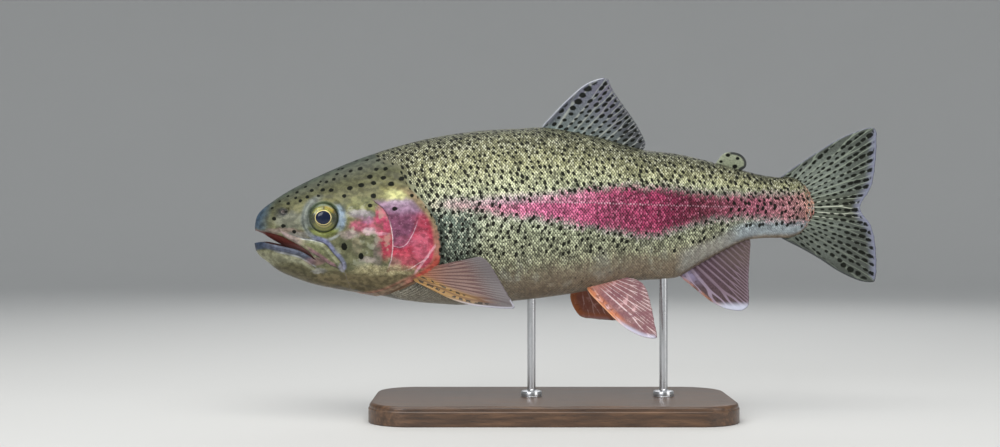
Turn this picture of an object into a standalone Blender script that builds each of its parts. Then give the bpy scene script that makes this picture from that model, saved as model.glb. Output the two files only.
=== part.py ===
# Rainbow trout, a life-size still model on a plain display stand.
# Metres, +Z up. The fish faces -X and its left side faces -Y.
# The origin is the middle of the stand's underside.

import math

import bmesh
import bpy
import numpy as np
from mathutils import Matrix

# Driving dimensions
TOTAL_LENGTH = 0.450        # snout to the tips of the tail fin
AXIS_HEIGHT = 0.150         # lateral line above the floor
SNOUT_X = -0.215            # the snout's place, so that the base is under the weight
GAP = 0.0003                # between neighbouring solids
UNIT = TOTAL_LENGTH / 450   # the tables below are in these units, 1 mm each

# Points are (distance behind the snout, height over the lateral line).
BACK = [(0.3, -14.0), (0.8, -8.6), (2.4, -4.3), (6.5, 0.2), (12, 4.3), (25, 12.8),
        (47, 23.8), (76, 36.0), (105, 45.2), (134, 52.0), (163, 56.0), (190, 57.6),
        (208, 58.4), (228, 55.6), (250, 50.8), (278, 42.8), (307, 39.0), (335, 32.2),
        (363, 24.6), (377, 22.4), (387, 22.6), (395, 18.8), (400.5, 12.5), (403, 6.0)]
BELLY = [(0.3, -28.0), (0.8, -30.6), (2.2, -33.2), (5, -36.2), (10, -39.8), (18, -46.0),
         (32, -51.9), (47, -56.4), (76, -61.8), (105, -66.6), (134, -69.4), (158, -69.8),
         (206, -65.2), (240, -60.0), (272, -53.2), (299, -51.2), (309, -48.4),
         (322, -40.4), (350, -25.4), (364, -22.1), (378, -21.6), (387, -21.4),
         (395, -17.6), (400.5, -10.8), (403, -5.0)]
# (distance behind the snout, half width, height of the widest place)
WIDTHS = [(0.3, 4.6, -21), (2.4, 7.8, -20), (6.5, 10.4, -19), (12, 12.8, -18),
          (25, 16.0, -17), (50, 19.6, -16), (76, 24.0, -14), (105, 28.2, -12),
          (134, 30.4, -10), (170, 31.0, -9), (210, 29.6, -7), (250, 25.6, -5),
          (278, 21.8, -4), (307, 17.4, -3), (335, 12.8, -1), (363, 8.6, 0),
          (380, 6.6, 0), (395, 4.2, 0), (403, 2.2, 0)]
HEAD_SQUARENESS, BODY_SQUARENESS = 2.35, 2.08   # powers of the section's ellipse
SNOUT_RINGS, BODY_RINGS, TAIL_RINGS = 9, 30, 5
RING_POINTS = 28

# Mouth: the open wedge between the lips, then the closed lip line to its corner
UPPER_LIP = [(-3, -13.6), (1.4, -15.6), (6.4, -18.4), (13.6, -22.8), (18.8, -26.0)]
LOWER_LIP = [(18.8, -26.6), (12.5, -25.4), (6.8, -24.3), (3.0, -24.7), (-3, -25.6)]
LIP_LINE = [(18.8, -26.4), (27, -28.5), (35, -31.0), (46, -38.6), (55, -43.0), (62, -46.5)]
MOUTH_MIDDLE = [(-12, -18), (12, -24)]      # between the lips, where nothing is solid
JAW_BACK = [(66, -50.5), (67, -56.0), (66, -66.0)]
# Gill cover, and where the head ends over and under it
COVER_FRONT = [(96, -55.5), (97.5, -45.4), (100.6, -35), (101.9, -25.3), (101, -15),
               (97.5, -4), (90.5, 4.5)]
COVER_TOP = [(95, 10.4), (101, 13.2), (107, 12.9)]
COVER_BACK = [(115.4, 8.1), (121.2, 1.6), (126.8, -4.8), (130.6, -11.5), (132.6, -20),
              (132.9, -29.5), (131, -37.5), (126.4, -43), (114, -50), (105, -53.8)]
NAPE = [(84, 48), (89, 36), (97, 30), (105, 22)]
THROAT = [(96, -57.6), (86, -61.6), (74, -70)]
COVER_DEPTH = 11.0          # the covers reach this near to the middle
COVER_ROOM_REACH = 9.0      # their hollows run on this far, out through the head's rear edge
TRUNK_END = 303.0           # the tail starts here, just ahead of the anal fin
AHEAD, BEHIND, FAR_UP, FAR_DOWN = -30, 480, 99, -99     # places well clear of the fish

EYE_PLACE = (52.4, -7.4)
EYE_RADIUS, EYE_HALF_DEPTH, EYE_MIDDLE = 11.4, 8.4, 12.9
EYE_SQUARENESS = 3.0        # over 2, for the flatter front of a fish's eye

# Fins in the middle plane: outline and thickness. The foot of each is sunk in the
# body and cut away along the body's own surface.
DORSAL_FIN = [(205.5, 52), (208.5, 60.2), (213.4, 65.5), (220.7, 73.4), (227.9, 80.3),
              (235.2, 86.8), (242.4, 91.3), (249.6, 93.8), (254.4, 94.0), (256.6, 91),
              (259.2, 85), (267, 73.8), (274.2, 63.7), (279.4, 54.3), (282.3, 47.6),
              (281.5, 43.2), (277, 38)]
ADIPOSE_FIN = [(332, 28), (334.6, 34.4), (338.4, 38.9), (343, 40.5), (348.8, 39.9),
               (353.2, 37.4), (355.5, 33.2), (354.8, 29.4), (351.6, 28.4), (346, 26),
               (342, 22)]
TAIL_FIN = [(379, 20), (381.6, 25.0), (394.3, 32.6), (408.8, 42), (423.2, 50.6),
            (437.7, 56.5), (446, 58.4), (449.2, 56.2), (449.6, 47), (449.2, 37),
            (447.3, 21), (444.6, 12.8), (440, 5.6), (438, 0.6), (440.2, -5.2),
            (445.2, -11.4), (448.6, -22.4), (450, -38), (449.6, -50), (447.4, -53.6),
            (437.7, -52.8), (423.2, -46.3), (408.8, -37), (394.3, -28.7), (381.6, -23.2),
            (379, -19)]
ANAL_FIN = [(307, -44), (307.2, -49.4), (314.7, -55.5), (324, -63.2), (331, -68.4),
            (340, -72.6), (349, -74.4), (354.6, -73), (357.4, -68.6), (357.3, -52),
            (358, -34), (358.4, -25), (355, -19.5)]
# Paired fins: outline from the side, with the lean of their plane off the flank
PECTORAL_FIN = [(113.5, -46), (118, -53.8), (128.3, -57.6), (142.3, -64), (156.3, -68.2),
                (170, -69.8), (184, -70.4), (187.4, -69), (184.6, -63.2), (177.3, -50.8),
                (170.6, -39.6), (165.4, -35), (160, -35), (149.5, -41.1), (135.6, -45.6),
                (122, -41)]
PECTORAL_PLANE = dict(at=(118, -50), out=22.5, per_length=0.273, per_height=-0.034)
PELVIC_FIN = [(237.6, -52), (240.6, -60), (248.2, -68.3), (262.3, -82.3), (269.8, -87.6),
              (278, -91.4), (286.2, -92.6), (288.4, -90), (287, -83), (285.4, -72),
              (281.6, -57.5), (275, -51.5), (262, -48), (251, -46)]
PELVIC_PLANE = dict(at=(246, -55), out=8.5, per_length=0.10, per_height=-0.30)
# The right pelvic fin is swung forward and further out.
RIGHT_PELVIC_FIN = [(231.5, -54), (228.8, -62.5), (229.4, -68), (232.6, -75),
                    (237.4, -80.4), (246, -82), (258, -83.2), (270, -83.4), (273, -81),
                    (273.4, -74), (270, -62), (262, -53), (250, -48.5), (242, -48)]
RIGHT_PELVIC_PLANE = dict(at=(238, -56), out=9.5, per_length=0.14, per_height=-0.62)
FIN_THICKNESS = dict(dorsal_fin=1.5, adipose_fin=3.0, caudal_fin=1.5, anal_fin=1.5,
                     pectoral_fin=1.3, pelvic_fin=1.3)

BASE_SIZE = (0.260, 0.120, 0.014)
BASE_CORNER, BASE_EDGE = 0.030, 0.0025
ROD_RADIUS = 0.003
COLLAR_RADIUS, COLLAR_HEIGHT = 0.0075, 0.004
ROD_PLACES = dict(stand_rod_front=200.0, stand_rod_rear=295.5)

COLORS = dict(head=(0.30, 0.31, 0.17), lower_jaw=(0.45, 0.43, 0.36),
              gill_cover=(0.60, 0.16, 0.22), trunk=(0.40, 0.42, 0.28),
              tail=(0.42, 0.36, 0.30), fin=(0.38, 0.33, 0.31), pelvic=(0.55, 0.27, 0.27),
              eye=(0.55, 0.43, 0.12), wood=(0.20, 0.11, 0.06), steel=(0.60, 0.60, 0.62))


def clear_scene():
    for thing in list(bpy.data.objects):
        bpy.data.objects.remove(thing, do_unlink=True)


def collection(name):
    made = bpy.data.collections.new(name)
    bpy.context.scene.collection.children.link(made)
    return made


def material(name, color, roughness=0.4, metallic=0.0):
    made = bpy.data.materials.new(name)
    made.use_nodes = True
    shader = made.node_tree.nodes["Principled BSDF"]
    shader.inputs["Base Color"].default_value = (*color, 1)
    shader.inputs["Roughness"].default_value = roughness
    shader.inputs["Metallic"].default_value = metallic
    return made


def to_world(place):
    """A (distance behind the snout, height over the lateral line) in metres."""
    along, height = place
    return SNOUT_X + along * UNIT, AXIS_HEIGHT + height * UNIT


def smooth_line(points, steps=4, closed=False):
    """A Catmull-Rom curve through the points, with the given steps to each stretch."""
    points = [np.array(p, float) for p in points]
    count = len(points)
    line = []
    for i in range(count if closed else count - 1):
        if closed:
            a, b, c, d = (points[(i + k) % count] for k in (-1, 0, 1, 2))
        else:
            b, c = points[i], points[i + 1]
            a = points[i - 1] if i else 2 * b - c
            d = points[i + 2] if i + 2 < count else 2 * c - b
        for t in np.arange(steps) / steps:
            line.append(0.5 * (2 * b + (c - a) * t + (2 * a - 5 * b + 4 * c - d) * t * t
                               + (3 * b - 3 * c + d - a) * t ** 3))
    if not closed:
        line.append(points[-1])
    return line


def profile(table, column=1):
    """The table's column as a smooth function of the distance behind the snout."""
    line = np.array(smooth_line([(row[0], row[column]) for row in table], 12))
    return lambda along: float(np.interp(along, line[:, 0], line[:, 1]))


back_at, belly_at = profile(BACK), profile(BELLY)
width_at, widest_at = profile(WIDTHS), profile(WIDTHS, 2)


def squareness_at(along):
    blend = min(max((along - 60) / 80, 0), 1)
    return HEAD_SQUARENESS + (BODY_SQUARENESS - HEAD_SQUARENESS) * blend


def ring(along, grow):
    """One section of the body, as points round from the belly up the left side."""
    top, bottom = back_at(along) + grow, belly_at(along) - grow
    middle, half = widest_at(along), width_at(along) + grow
    power = 2 / squareness_at(along)
    points = []
    for i in range(RING_POINTS):
        angle = 2 * math.pi * i / RING_POINTS - math.pi / 2
        side, up = math.cos(angle), math.sin(angle)
        out = half * abs(side) ** power * math.copysign(1, side)
        reach = (top if up > 0 else bottom) - middle
        height = middle + reach * abs(up) ** power
        x, z = to_world((along, height))
        points.append((x, -out * UNIT, z))
    return points


def ring_places():
    """Sections lie close together at the snout and at the end of the tail."""
    first, last = BACK[0][0], BACK[-1][0]
    snout = [first + (18 - first) * (i / SNOUT_RINGS) ** 1.9 for i in range(SNOUT_RINGS)]
    body = list(np.linspace(18, 372, BODY_RINGS))
    tail = [372 + (last - 372) * (1 - (1 - i / TAIL_RINGS) ** 1.5)
            for i in range(1, TAIL_RINGS + 1)]
    return snout + body + tail


def body_mesh(name, grow=0.0):
    """The whole body from snout to tail root, grown outwards by some millimetres."""
    work = bmesh.new()
    rings = [[work.verts.new(p) for p in ring(along, grow)] for along in ring_places()]
    for front, behind in zip(rings, rings[1:]):
        for i in range(RING_POINTS):
            j = (i + 1) % RING_POINTS
            work.faces.new((front[i], front[j], behind[j], behind[i]))
    for end, along in ((rings[0], BACK[0][0] - 0.3 - grow),
                       (rings[-1], BACK[-1][0] + 0.5 + grow)):
        x, z = to_world((along, (back_at(along) + belly_at(along)) / 2))
        tip = work.verts.new((x, 0, z))
        for i in range(RING_POINTS):
            work.faces.new((end[i], end[(i + 1) % RING_POINTS], tip))
    bmesh.ops.recalc_face_normals(work, faces=work.faces)
    mesh = bpy.data.meshes.new(name)
    work.to_mesh(mesh)
    work.free()
    return mesh


def place(name, mesh, home, finish=None):
    made = bpy.data.objects.new(name, mesh)
    home.objects.link(made)
    if finish:
        mesh.materials.clear()
        mesh.materials.append(finish)
    return made


def make_cutter(thing):
    thing.hide_render = True
    thing.display_type = "WIRE"
    return thing


def plate(name, outline, thickness, home, middle=0.0):
    """A flat plate in the XZ plane with this outline, as a mesh object."""
    curve = bpy.data.curves.new(name, "CURVE")
    curve.dimensions = "2D"
    curve.fill_mode = "BOTH"
    curve.extrude = thickness / 2
    spline = curve.splines.new("POLY")
    spline.points.add(len(outline) - 1)
    for point, spot in zip(spline.points, outline):
        point.co = (*to_world(spot), 0, 1)
    spline.use_cyclic_u = True
    flat = bpy.data.objects.new(name + "_outline", curve)
    flat.rotation_euler = (math.pi / 2, 0, 0)
    flat.location.y = middle
    home.objects.link(flat)
    bpy.context.view_layer.update()
    graph = bpy.context.evaluated_depsgraph_get()
    mesh = bpy.data.meshes.new_from_object(flat.evaluated_get(graph))
    matrix = flat.matrix_world.copy()
    bpy.data.objects.remove(flat)
    work = bmesh.new()
    work.from_mesh(mesh)
    bmesh.ops.remove_doubles(work, verts=work.verts, dist=1e-6)
    bmesh.ops.recalc_face_normals(work, faces=work.faces)
    work.to_mesh(mesh)
    work.free()
    mesh.name = name
    made = bpy.data.objects.new(name, mesh)
    made.matrix_world = matrix
    home.objects.link(made)
    return made


def boolean(thing, other, operation):
    step = thing.modifiers.new(other.name, "BOOLEAN")
    step.operation = operation
    step.object = other
    step.solver = "EXACT"
    return thing


def shade(thing, degrees=35):
    thing.data.shade_smooth()
    thing.data.set_sharp_from_angle(angle=math.radians(degrees))


def shifted(points, along):
    return [(x + along, z) for x, z in points]


def flesh(name, home, finish):
    made = place(name, body_mesh(name), home, finish)
    shade(made)
    return made


def cover_outline(slack):
    """The gill cover from the side, drawn in by some slack at front, top and bottom."""
    front = [(x + slack, z) for x, z in smooth_line(COVER_FRONT, 3)]
    top = [(x, z - slack) for x, z in smooth_line(COVER_TOP, 2)]
    behind = smooth_line(COVER_BACK, 2)
    low_front, low_back = front.pop(0), behind.pop()
    low = [(low_back[0], low_back[1] + slack), (low_front[0], low_front[1] + slack)]
    return front + top + behind + low


def upright_band(first, last):
    """An outline that holds all of the fish between two distances behind the snout."""
    return [(first, FAR_UP), (last, FAR_UP), (last, FAR_DOWN), (first, FAR_DOWN)]


def head_back():
    """The line behind the head, from over the nape down to under the throat."""
    line = NAPE + [COVER_TOP[-1]] + COVER_BACK + THROAT
    return smooth_line(line, 2)


def build_flesh(parts, cutters, finish):
    half_gap = GAP / UNIT / 2
    wide = 0.2
    line = head_back()
    ahead = [(AHEAD, FAR_UP), *shifted(line, -half_gap), (AHEAD, FAR_DOWN)]
    behind = [(BEHIND, FAR_UP), *shifted(line, half_gap), (BEHIND, FAR_DOWN)]
    ahead_zone = make_cutter(plate("ahead_of_gills", ahead, wide, cutters))
    trunk_zone = make_cutter(plate("behind_gills", behind, wide, cutters))
    trunk_stop = make_cutter(plate("ahead_of_tail", upright_band(AHEAD, TRUNK_END - half_gap),
                                   wide, cutters))
    tail_zone = make_cutter(plate("tail_zone", upright_band(TRUNK_END + half_gap, BEHIND),
                                  wide, cutters))

    mouth = smooth_line(UPPER_LIP, 2) + smooth_line(LOWER_LIP, 2)
    lips = smooth_line(LIP_LINE + JAW_BACK, 2)
    jaw = [(AHEAD, LOWER_LIP[-1][1]), *smooth_line(LOWER_LIP, 2)[::-1]]
    jaw += [(x, z - half_gap) for x, z in lips[1:]] + [(AHEAD, FAR_DOWN)]
    jaw_room = MOUTH_MIDDLE + [(x + half_gap, z + half_gap) for x, z in lips]
    jaw_room += [(AHEAD, FAR_DOWN)]
    mouth_gap = make_cutter(plate("mouth_gap", mouth, wide, cutters))
    jaw_zone = make_cutter(plate("jaw_zone", jaw, wide, cutters))
    jaw_room = make_cutter(plate("jaw_room", jaw_room, wide, cutters))

    trunk = flesh("trunk", parts, finish["trunk"])
    boolean(boolean(trunk, trunk_zone, "INTERSECT"), trunk_stop, "INTERSECT")
    boolean(flesh("tail_stem", parts, finish["tail"]), tail_zone, "INTERSECT")
    jaw = flesh("lower_jaw", parts, finish["lower_jaw"])
    boolean(boolean(jaw, jaw_zone, "INTERSECT"), mouth_gap, "DIFFERENCE")

    head = flesh("head", parts, finish["head"])
    boolean(head, ahead_zone, "INTERSECT")
    boolean(head, mouth_gap, "DIFFERENCE")
    boolean(head, jaw_room, "DIFFERENCE")
    deep = 0.05
    for side, sign in (("left", -1), ("right", 1)):
        inner = COVER_DEPTH * UNIT
        zone = plate("cover_zone_" + side, cover_outline(half_gap), deep, cutters,
                     sign * (inner + GAP + deep / 2))
        room = [(x + (COVER_ROOM_REACH if x > COVER_TOP[-1][0] else 0), z)
                for x, z in cover_outline(-half_gap)]
        room = plate("cover_room_" + side, room, deep, cutters,
                     sign * (inner + deep / 2))
        cover = flesh("gill_cover_" + side, parts, finish["gill_cover"])
        boolean(cover, ahead_zone, "INTERSECT")
        boolean(cover, make_cutter(zone), "INTERSECT")
        boolean(head, make_cutter(room), "DIFFERENCE")
        eye = eyeball("eye_" + side, sign, 0.0, parts)
        eye.data.materials.append(finish["eye"])
        boolean(head, make_cutter(eyeball("eye_room_" + side, sign, GAP, cutters)),
                "DIFFERENCE")


def eyeball(name, sign, grow, home):
    bpy.ops.mesh.primitive_uv_sphere_add(segments=20, ring_count=12, radius=1)
    ball = bpy.context.object
    ball.name = ball.data.name = name
    for other in ball.users_collection:
        other.objects.unlink(ball)
    home.objects.link(ball)
    for point in ball.data.vertices:
        across = min(math.hypot(point.co.x, point.co.y), 1.0)
        deep = (1 - across ** EYE_SQUARENESS) ** (1 / EYE_SQUARENESS)
        point.co.z = math.copysign(deep, point.co.z) if abs(point.co.z) > 1e-6 else 0.0
    x, z = to_world(EYE_PLACE)
    radius, depth = EYE_RADIUS * UNIT + grow, EYE_HALF_DEPTH * UNIT + grow
    ball.data.transform(Matrix.Rotation(math.pi / 2, 4, "X"))
    ball.data.transform(Matrix.Diagonal((radius, depth, radius, 1)))
    ball.location = (x, sign * EYE_MIDDLE * UNIT, z)
    shade(ball, 60)
    return ball


def lean(fin, plane, sign):
    """Slides the flat fin sideways in proportion to its points' places."""
    x, z = to_world(plane["at"])
    shear = Matrix.Identity(4)
    shear[1][0] = sign * plane["per_length"]
    shear[1][2] = sign * plane["per_height"]
    out = plane["out"] * UNIT
    shear[1][3] = sign * out - shear[1][0] * x - shear[1][2] * z
    fin.data.transform(shear @ fin.matrix_world)
    fin.matrix_world = Matrix.Identity(4)
    bpy.context.view_layer.update()


def build_fins(parts, room, finish):
    for name, outline in (("dorsal_fin", DORSAL_FIN), ("adipose_fin", ADIPOSE_FIN),
                          ("caudal_fin", TAIL_FIN), ("anal_fin", ANAL_FIN)):
        outline = smooth_line(outline, 2, closed=True)
        fin = plate(name, outline, FIN_THICKNESS[name] * UNIT, parts)
        fin.data.materials.append(finish["fin"])
        boolean(fin, room, "DIFFERENCE")
    paired = (("pectoral_fin_left", PECTORAL_FIN, PECTORAL_PLANE, -1, "fin"),
              ("pectoral_fin_right", PECTORAL_FIN, PECTORAL_PLANE, 1, "fin"),
              ("pelvic_fin_left", PELVIC_FIN, PELVIC_PLANE, -1, "pelvic"),
              ("pelvic_fin_right", RIGHT_PELVIC_FIN, RIGHT_PELVIC_PLANE, 1, "pelvic"))
    for name, outline, plane, sign, slot in paired:
        outline = smooth_line(outline, 2, closed=True)
        thickness = FIN_THICKNESS[name.rsplit("_", 1)[0]] * UNIT
        fin = plate(name, outline, thickness, parts)
        lean(fin, plane, sign)
        fin.data.materials.append(finish[slot])
        boolean(fin, room, "DIFFERENCE")


def build_stand(parts, room, finish):
    long, wide, thick = BASE_SIZE
    bpy.ops.mesh.primitive_cube_add(size=1)
    base = bpy.context.object
    base.name = base.data.name = "stand_base"
    for other in base.users_collection:
        other.objects.unlink(base)
    parts.objects.link(base)
    base.data.transform(Matrix.Diagonal((long, wide, thick, 1)))
    base.data.transform(Matrix.Translation((0, 0, thick / 2)))
    work = bmesh.new()
    work.from_mesh(base.data)
    upright = [e for e in work.edges if abs(e.verts[0].co.z - e.verts[1].co.z) > thick / 2]
    bmesh.ops.bevel(work, geom=upright, offset=BASE_CORNER, segments=7, affect="EDGES",
                    profile=0.5)
    top = [e for e in work.edges if all(abs(v.co.z - thick) < 1e-6 for v in e.verts)]
    bmesh.ops.bevel(work, geom=top, offset=BASE_EDGE, segments=3, affect="EDGES",
                    profile=0.5)
    work.to_mesh(base.data)
    work.free()
    base.data.materials.append(finish["wood"])
    shade(base)
    for name, along in ROD_PLACES.items():
        rod_profile(name, along, thick, parts, room, finish["steel"])


def rod_profile(name, along, floor, parts, room, finish):
    """A turned rod with a low collar, from the base up to the belly, which trims it."""
    sunk = 8                # before the trim, in the tables' units
    x, top = to_world((along, belly_at(along) + sunk))
    low = floor + GAP
    step = 0.0008           # the collar's chamfer
    corners = [(0, top), (ROD_RADIUS, top), (ROD_RADIUS, low + COLLAR_HEIGHT + step),
               (COLLAR_RADIUS - step, low + COLLAR_HEIGHT),
               (COLLAR_RADIUS, low + COLLAR_HEIGHT - step), (COLLAR_RADIUS, low), (0, low)]
    mesh = bpy.data.meshes.new(name)
    edges = [(i, i + 1) for i in range(len(corners) - 1)]
    mesh.from_pydata([(r, 0, z) for r, z in corners], edges, [])
    rod = place(name, mesh, parts, finish)
    rod.location = (x, 0, 0)
    turn = rod.modifiers.new("turn", "SCREW")
    turn.steps = turn.render_steps = 20
    turn.use_merge_vertices = True
    turn.merge_threshold = 1e-5
    turn.use_normal_calculate = True
    boolean(rod, room, "DIFFERENCE")


def main():
    clear_scene()
    parts = collection("rainbow_trout")
    cutters = collection("cutters")
    roughness = dict(wood=0.45, steel=0.25, eye=0.12)
    finish = {name: material(name, color, roughness.get(name, 0.35),
                             1.0 if name == "steel" else 0.0)
              for name, color in COLORS.items()}
    room = make_cutter(place("fin_and_rod_room", body_mesh("room", GAP / UNIT), cutters))
    build_flesh(parts, cutters, finish)
    build_fins(parts, room, finish)
    build_stand(parts, room, finish)


main()
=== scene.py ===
import math

import bmesh
import bpy
import numpy as np
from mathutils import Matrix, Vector


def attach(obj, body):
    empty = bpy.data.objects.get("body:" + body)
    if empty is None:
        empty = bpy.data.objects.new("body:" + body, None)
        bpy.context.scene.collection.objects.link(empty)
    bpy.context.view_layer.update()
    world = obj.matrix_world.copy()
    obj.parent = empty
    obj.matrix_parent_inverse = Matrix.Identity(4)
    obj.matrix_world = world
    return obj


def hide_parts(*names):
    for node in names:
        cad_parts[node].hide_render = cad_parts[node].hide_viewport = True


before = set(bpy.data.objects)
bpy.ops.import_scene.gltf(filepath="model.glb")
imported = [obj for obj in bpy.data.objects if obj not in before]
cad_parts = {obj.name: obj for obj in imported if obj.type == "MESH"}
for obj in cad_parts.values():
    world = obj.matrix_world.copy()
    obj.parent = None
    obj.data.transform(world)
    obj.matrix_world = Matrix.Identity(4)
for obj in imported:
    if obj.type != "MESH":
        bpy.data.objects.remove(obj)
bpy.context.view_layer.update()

# Life-size rainbow trout on a display stand. The tables are in millimetres:
# distance behind the snout, and height over the lateral line. Left is -Y.
mm = 0.001
snoutX, axisHeight = -0.215, 0.150
print("scene: frame loaded")


def smoothLine(points, steps=6, closed=False):
    points = np.array(points, float)
    count = len(points)
    t = (np.arange(steps) / steps)[:, None]
    line = []
    for i in range(count if closed else count - 1):
        if closed:
            a, b, c, d = (points[(i + k) % count] for k in (-1, 0, 1, 2))
        else:
            b, c = points[i], points[i + 1]
            a = points[i - 1] if i else 2 * b - c
            d = points[i + 2] if i + 2 < count else 2 * c - b
        line.append(0.5 * (2 * b + (c - a) * t + (2 * a - 5 * b + 4 * c - d) * t * t
                           + (3 * b - 3 * c + d - a) * t ** 3))
    line = np.concatenate(line)
    return line if closed else np.vstack([line, points[-1]])


def profile(table, column=1):
    line = smoothLine([(row[0], row[column]) for row in table], 12)
    return lambda along: np.interp(along, line[:, 0], line[:, 1])


def steps(value, marks):
    # straight lines between (value, result) pairs
    xs, ys = zip(*marks)
    return np.interp(value, xs, ys)


def smoothStep(value, low, high):
    t = np.clip((value - low) / (high - low), 0, 1)
    return t * t * (3 - 2 * t)


def hump(value, width):
    # 1 where the value is 0, falling off softly to both sides
    return np.exp(-(value / width) ** 2)


def unit(vectors):
    return vectors / np.linalg.norm(vectors, axis=1)[:, None]


def pointAt(line, fraction):
    # places along a line by their share of its length
    run = np.concatenate([[0], np.cumsum(np.hypot(*np.diff(line, axis=0).T))])
    run /= run[-1]
    return np.stack([np.interp(fraction, run, line[:, i]) for i in (0, 1)], -1)


def toWorld(along, out, height):
    # out is positive on the left side
    return np.stack([snoutX + along * mm, -out * mm, axisHeight + height * mm], -1)


body = dict(
    coatDepth=0.25,  # the skin lies this far inside the solids
    headSquareness=2.35, bodySquareness=2.08,
    back=[(0.3, -14), (0.8, -8.6), (2.4, -4.3), (6.5, 0.2), (12, 4.3), (25, 12.8), (47, 23.8), (76, 36),
          (105, 45.2), (134, 52), (163, 56), (190, 57.6), (208, 58.4), (228, 55.6), (250, 50.8), (278, 42.8),
          (307, 39), (335, 32.2), (363, 24.6), (377, 22.4), (387, 22.6), (395, 18.8), (400.5, 12.5),
          (403, 6)],
    belly=[(0.3, -28), (0.8, -30.6), (2.2, -33.2), (5, -36.2), (10, -39.8), (18, -46), (32, -51.9),
           (47, -56.4), (76, -61.8), (105, -66.6), (134, -69.4), (158, -69.8), (206, -65.2), (240, -60),
           (272, -53.2), (299, -51.2), (309, -48.4), (322, -40.4), (350, -25.4), (364, -22.1), (378, -21.6),
           (387, -21.4), (395, -17.6), (400.5, -10.8), (403, -5)],
    # distance, half width, height of the widest place
    widths=[(0.3, 4.6, -21), (2.4, 7.8, -20), (6.5, 10.4, -19), (12, 12.8, -18), (25, 16, -17),
            (50, 19.6, -16), (76, 24, -14), (105, 28.2, -12), (134, 30.4, -10), (170, 31, -9),
            (210, 29.6, -7), (250, 25.6, -5), (278, 21.8, -4), (307, 17.4, -3), (335, 12.8, -1),
            (363, 8.6, 0), (380, 6.6, 0), (395, 4.2, 0), (403, 2.2, 0)],
)
backAt, bellyAt = profile(body["back"]), profile(body["belly"])
widthAt, widestAt = profile(body["widths"]), profile(body["widths"], 2)


def halfSection(along, count=241):
    # one side of each section, from the back's midline down to the belly's
    along = np.atleast_1d(np.asarray(along, float))[:, None]
    depth = body["coatDepth"]
    top, bottom = backAt(along) - depth, bellyAt(along) + depth
    half, middle = widthAt(along) - depth, widestAt(along)
    share = np.clip((along - 60) / 80, 0, 1)
    power = 2 / (body["headSquareness"] + (body["bodySquareness"] - body["headSquareness"]) * share)
    angle = np.linspace(math.pi / 2, -math.pi / 2, count)[None, :]
    side, up = np.cos(angle), np.sin(angle)
    out = half * np.abs(side) ** power
    out[:, [0, -1]] = 0
    reach = np.where(up > 0, top - middle, bottom - middle)
    return out, middle + reach * np.abs(up) ** power


def relativeHeight(along, height):
    # 1 on the back, -1 under the belly, 0 at the widest place
    top, bottom, middle = backAt(along), bellyAt(along), widestAt(along)
    rise = (height - middle) / np.where(height > middle, top - middle, middle - bottom)
    return np.clip(rise, -1, 1)


# lines on the head and the body, seen from the side
lines = dict(
    upperLip=[(-1, -15), (1.4, -15.6), (6.4, -16.8), (14, -18.2), (22, -20.5), (28, -23.5), (35, -27.2),
              (41, -31.2), (47, -38)],
    lowerLip=[(-1, -25.4), (1.4, -25), (6.8, -24.3), (12.5, -25.4), (19.7, -27), (27, -28.5), (34, -30.3),
              (40, -33.4), (47, -38)],
    mouthRoof=[(-1, -16.2), (1.4, -16.6), (6.4, -18.7), (10, -20.9), (13.6, -23.1), (18.6, -25.9),
               (25, -29.5), (35, -33.5), (47, -39.5)],
    behindMouth=[(47, -38), (64, -43), (90, -45), (130, -40), (175, -20), (260, -8), (403, 0)],
    maxillaTop=[(20, -15.6), (23.4, -17.2), (35.4, -21.5), (44.7, -22.9), (53.2, -25.7), (58.8, -32.1),
                (63.8, -37.8), (65.2, -41.3)],
    maxillaLow=[(64.4, -43.2), (56.6, -40.7), (49.5, -35.7), (42.4, -31.4), (35.3, -27.2), (28, -23),
                (23.2, -20.1)],
    lipCrease=[(3, -29), (9.6, -30.6), (16.7, -32.6), (27.4, -36), (34.6, -38.6), (45.3, -44), (56, -48.5),
               (66, -50.5)],
    preopercle=[(84, 8.5), (89.2, 3.9), (95.6, -1.4), (99.1, -8), (101.2, -16.5), (101.9, -25.3),
                (101.2, -33.4), (99.8, -39), (96.3, -45.4), (90, -49.5)],
    suture=[(92, -25.5), (98, -26), (102.7, -27.2), (106.9, -27.9), (111.1, -26.1), (114, -22.1),
            (116.8, -16.8), (118.6, -12), (120.4, -6), (122, 0), (123, 8)],
    gillEdge=[(97, 16.5), (106.9, 13.8), (115.4, 8.1), (121, 1.4), (126.6, -4.5), (130.1, -10.2),
              (132.2, -19.3), (132.9, -29.9), (131.2, -37.9), (126.6, -42.9), (121.3, -46.4), (114, -49.5),
              (106.9, -53.1), (96.4, -58), (85.8, -61), (72, -62.5)],
    coverBone=[(107, 8), (113, 3), (118, -4), (122, -12), (126, -20), (128, -26.4), (126.6, -34.8),
               (120.2, -39), (113.9, -43), (106.8, -45.4), (96.3, -47.5)],
    scaleStart=[(82, 62), (86, 42), (89, 35.7), (96, 31.5), (106.6, 26.6), (113.7, 14), (121.5, 5.4),
                (127.5, -2.5), (132.6, -12.3), (134.6, -22.8), (134.8, -33.3), (133, -42), (124, -50),
                (110, -57), (98, -62), (84, -68), (76, -76)],
    lateralLine=[(84, 14), (100, 10.5), (118, 7.2), (135, 5.3), (191, 3.9), (247, 3.2), (318, 1.1),
                 (391, 0.4), (410, 0.2)],
    stripeTop=[(120, 3.6), (149, 3.4), (177, 3.4), (205, 6), (219, 8.6), (247, 12.8), (275, 13.9),
               (305, 11.8), (333, 8.8), (362, 8.6), (390, 9.8), (410, 10.6)],
    stripeLow=[(120, 0), (149, -1.2), (163, -2.8), (177, -4.2), (205, -6.8), (219, -8.9), (247, -14.4),
               (275, -18), (286, -18), (298, -15.2), (312, -11), (319, -9.2), (333, -7.2), (347, -5.6),
               (362, -6.2), (396, -9.4), (410, -10.4)],
)
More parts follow.
